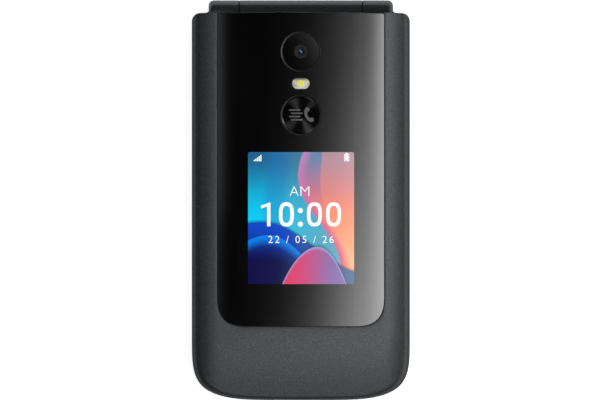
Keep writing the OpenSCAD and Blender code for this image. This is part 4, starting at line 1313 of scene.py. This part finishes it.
def show_status(name, face, area, white):
    """Signal bars on the left and a full battery on the right, in the screen's upper corners."""
    scale = (area[3] - area[2]) / STATUS_SCREEN
    y = (area[3] if face.side > 0 else area[2]) - face.side * 2.4 * scale
    bars = grown(bars_tree(), white, Count=5.0, Pitch=0.43, Width=0.3, First=0.35, Rise=0.32, Thick=2 * INK)
    battery = bmesh.new()
    ring_shape(battery, (0, 0.93), 1.36, 1.86, 0.17, power=12)
    for x, low, high in ((0.3, 1.84, 2.15), (0.34, 0.32, 1.54)):
        prism(battery, [(x, low), (x, high), (-x, high), (-x, low)], -INK, INK)
    face.lay(bars, (area[0] + 1.65 * scale, y), scale)
    face.lay(battery, (area[1] - 1.95 * scale, y), scale)
    face.hold(name, join(bars, battery), white)


def ring_shape(bm, centre, width, height, stroke, power=2.7):
    """A nought: a closed band between two rounded outlines."""
    degrees = np.linspace(0, 360, 72, endpoint=False)
    outer, inner = (
        superellipse(centre, width / 2 - inset, height / 2 - inset, power, degrees) for inset in (0, stroke)
    )
    rings = [(outer, -INK), (outer, INK), (inner, INK), (inner, -INK)]
    bridge(bm, [at_height(points, z) for points, z in rings], wrap=True)


def show_time(name, centre, height, face, white):
    """Ten o'clock in plain round-cornered figures."""
    bm = bmesh.new()
    for x in (-3.76, 3.55, 8.53):
        ring_shape(bm, (x, 0), 3.87, 6.25, 0.89)
    for y in (1.0, -2.56):
        prism(bm, [(px - 0.13, py + y) for px, py in circle(0.66, 32)], -INK, INK)
    one = [(-7.93, 3.1), (-7.93, -3.1), (-8.8, -3.1), (-8.8, 2.08), (-10.38, 1.55), (-10.38, 2.27),
           (-8.1, 3.1)]
    prism(bm, one, -INK, INK)
    slice_at(bm, 0, np.arange(-9.75, 10.5, 1.5))
    face.hold(name, face.lay(bm, centre, height / TIME_HEIGHT), white)


def make_screen_text():
    white = lit_sign("Screen white", (1, 1, 1, 1))
    face = Face("outer_window", lambda x, y: crown(x) - TOP_LIFT)
    lettering("clock_half", "AM", (-0.35, 2.4), 2.5, face, white, -0.018)
    lettering("clock_date", DATE, (0.05, -10.2), 1.88, face, white, -0.006, spacing=1.3)
    show_time("clock_digits", (0.0, -3.67), TIME_HEIGHT, face, white)
    show_status("clock_status", face, SCREEN, white)


# ---- The inside of the lid

def make_inner_window():
    """The glass over the main display. With the lid open, its picture's head points to the lid's chin."""
    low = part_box("inner_window")[0][2] / MM
    finishes = [FINISH["window"], screen_finish("Inner screen", INNER_SCREEN, flipped=True)]
    dress("inner_window", finishes, 0,
          choose=lambda middle: middle.z < low + 0.01 and within(middle, INNER_SCREEN),
          change=lambda bm: slice_around(bm, INNER_SCREEN), name="inner_window_glass")
    white = lit_sign("Inner screen white", (1, 1, 1, 1))
    face = Face("inner_window", lambda x, y: low, -1)
    show_time("inner_clock_digits", (0, -20), 9.0, face, white)
    lettering("inner_clock_date", DATE, (0, -11.5), 2.45, face, white, spacing=1.3)
    show_status("inner_status", face, INNER_SCREEN, white)


# ---- Light, floor and camera

def band(place, start, stop, rise, fall):
    """1 between two angles and 0 outside them, with these steepnesses at its two sides."""
    return (place - start).logistic(rise) * (stop - place).logistic(fall)


def light_the_studio():
    """A dark zenith, a long soft box that starts a little right of it, and walls that glow towards the right.

    All angles are in degrees from the zenith: across to the right, and along towards the hinge.
    """
    world = bpy.data.worlds.new("Studio")
    world.use_nodes = True
    tree = world.node_tree
    tree.nodes.clear()
    x, y, z = step(tree, "ShaderNodeTexCoord", output="Generated").parts()
    across, along = x.degrees(z), y.degrees(z)

    # The box lies slantwise and is brighter along its far side
    slant = across - along * 1.12
    box_ends = 21.0 - (along + across * 0.87 - 8.0).size()
    core = (slant - 11.0).logistic(1.2) * (along + 7.0).logistic(0.6) * 7.0
    box = band(slant, 4.7, 17.0, 0.72, 0.7) * box_ends.logistic(0.22) * (core + 12.9)

    # Two weak strips on the left, the wider one mostly towards the hinge
    strip = band(-across, 10.5, 18.0, 1.2, 0.7) * (30.0 - along.size()).logistic(0.2) * 1.6
    fill = band(-across, 6.5, 20.0, 1.6, 0.4) * (40.0 - along.size()).logistic(0.2)
    fill = fill * ((along + 0.08).logistic(12.0) * 0.6 + 0.2)

    # The walls get brighter towards the horizon, and below it all is white
    flat = distance(x, y).at_least(0.0001)
    side, far = x / flat, y / flat
    right = ((side + 1.0) * 0.5) ** 4.0 * 3.2
    left = ((1.0 - side) * 0.5) ** 4.0 * 0.35
    near = (-far).at_least(0.0) ** 2.0 * 0.05
    walls = (1.0 - z.at_least(0.0)) ** 1.3 * (right + left + near + 0.11)
    rise = z.slope(-0.04, 0.0)
    level = (walls + box + fill + strip) * rise + (1.0 - rise)

    seen = step(tree, "ShaderNodeLightPath", output="Is Camera Ray")
    sky = step(tree, "ShaderNodeBackground", {"Strength": level * (1.0 - seen) + seen})
    end_at(tree, "ShaderNodeOutputWorld", sky)
    bpy.context.scene.world = world


def table_finish(name):
    """White to the eye, with a painted shadow close to the phone where the phone's edge mirrors it, and clear
    from below.
    """
    white = 0.8
    material = bpy.data.materials.new(name)
    material.use_nodes = True
    tree = material.node_tree
    tree.nodes.clear()
    x, y, _ = step(tree, "ShaderNodeTexCoord", output="Object").parts()
    # Painted shadow: what the phone mirrors of the table grows darker close to the phone, down to 0.15 of its
    # white
    beside = (x.size() - LID_HALF * MM).at_least(0.0)
    beyond = (y.size() - LID_END * MM).at_least(0.0)
    painted_shadow_falloff = distance(beside, beyond).slope(9 * MM, 27 * MM) * 0.85 + 0.15
    camera, through, mirrored = (
        step(tree, "ShaderNodeLightPath", output="Is %s Ray" % kind)
        for kind in ("Camera", "Transmission", "Glossy")
    )
    seen = camera.at_least(through).at_least(mirrored * painted_shadow_falloff)
    glow = step(tree, "ShaderNodeEmission", {"Strength": seen * white})
    diffuse = step(tree, "ShaderNodeBsdfDiffuse", {"Color": (white, white, white, 1)})
    both = step(tree, "ShaderNodeAddShader", {0: diffuse, 1: glow})
    below = step(tree, "ShaderNodeNewGeometry", output="Backfacing")
    clear = step(tree, "ShaderNodeBsdfTransparent")
    end_at(tree, "ShaderNodeOutputMaterial", step(tree, "ShaderNodeMixShader", {0: below, 1: both, 2: clear}))
    return material


def lay_the_floor():
    """A pale table that keeps the phone's shadow."""
    reach, low = 6.0, -0.03 * MM
    mesh = bpy.data.meshes.new("floor")
    corners = [(-reach, -reach, low), (reach, -reach, low), (reach, reach, low), (-reach, reach, low)]
    mesh.from_pydata(corners, [], [(0, 1, 2, 3)])
    mesh.materials.append(table_finish("White table"))
    new_object("floor", mesh)


def set_the_camera():
    """Straight above the closed phone, far off, with the hinge at the top of the frame."""
    width, height = 157.0 * MM, 13.5 * MM  # the frame takes in this width at this height above the table
    data = bpy.data.cameras.new("camera")
    data.sensor_width = 36
    data.lens = 400
    data.clip_end = 20
    camera = new_object("camera", data)
    far = width * data.lens / data.sensor_width
    camera.location = (-0.22 * MM, 0.08 * MM, height + far)
    bpy.context.scene.camera = camera


# ---- The whole phone

def knuckle_or_body(centre):
    """1 on the hinge knuckles, 2 in the splits between them, which take the painted shade, 0 elsewhere."""
    off_axis = math.hypot(centre.y - HINGE.y, centre.z - HINGE.z)
    if SPLIT_FROM - 0.01 < abs(centre.x) < SPLIT_TO and off_axis < BARREL_R - 0.02:
        return 2
    on_barrel = centre.y > HINGE.y - RECESS_R and abs(off_axis - BARREL_R) < 0.12
    return int(on_barrel or centre.y > LID_END + 0.1)


def bow_the_end(bm):
    """Gives the inner housing's hinge end the same bow as the front housing's."""
    for vert in bm.verts:
        off_axis = math.hypot(vert.co.y - HINGE.y, vert.co.z - HINGE.z)
        if vert.co.y > LID_END - 2.3 and (abs(vert.co.x) > RECESS_HALF - 0.3 or off_axis > RECESS_R + 0.05):
            vert.co.y += end_line(vert.co.x)


def round_the_ends(bm):
    """Rounds the outer ends of the hinge barrel more softly."""
    for vert in bm.verts:
        arm = Vector((vert.co.y - HINGE.y, vert.co.z - HINGE.z))
        back = BARREL_END - abs(vert.co.x)
        if -0.01 < back < END_ROUND + 0.01 and arm.length < BARREL_R + 0.01:
            back *= SOFTER
            vert.co.x = math.copysign(BARREL_END - back, vert.co.x)
            arm *= (BARREL_R - (BARREL_R - arm.length) * SOFTER) / arm.length
            vert.co.y, vert.co.z = HINGE.y + arm.x, HINGE.z + arm.y


def close_the_splits(bm):
    """A shoulder at each end of the middle knuckle, so that nothing shows through the splits beside it; it
    takes the painted shade of the splits.
    """
    bow_the_end(bm)
    shoulder = [(SPLIT_FROM, 3.0), (SPLIT_FROM, 3.88), (SPLIT_TO - 0.04, 3.88), (SPLIT_TO - 0.04, 3.0)]
    for side in (-1, 1):
        bridge(bm, [hinge_ring(side * x, r, 64) for x, r in shoulder], wrap=True)


def make_phone():
    """Each piece that has a shape of its own, and then every node that is left."""
    by_place = [FINISH[name] for name in ("body_plastic", "barrel", "shadow_gap")]  # for knuckle_or_body
    dress("rear_housing", width=0.1)
    dress("keypad_housing", by_place, 0.05, choose=knuckle_or_body, change=round_the_ends)
    dress("lid_inner_housing", by_place, 0.05, choose=knuckle_or_body, change=close_the_splits)
    make_lid_front()
    make_outer_panel()
    make_camera()
    make_flash()
    make_call_button()
    make_button_marks()
    make_screen_text()
    make_inner_window()
    make_keys()
    make_navigation()
    for node in frame["nodes"]:
        if node not in DRESSED:
            dress(node)


light_the_studio()
lay_the_floor()
set_the_camera()
bpy.context.scene.view_settings.view_transform = "Standard"
make_phone()
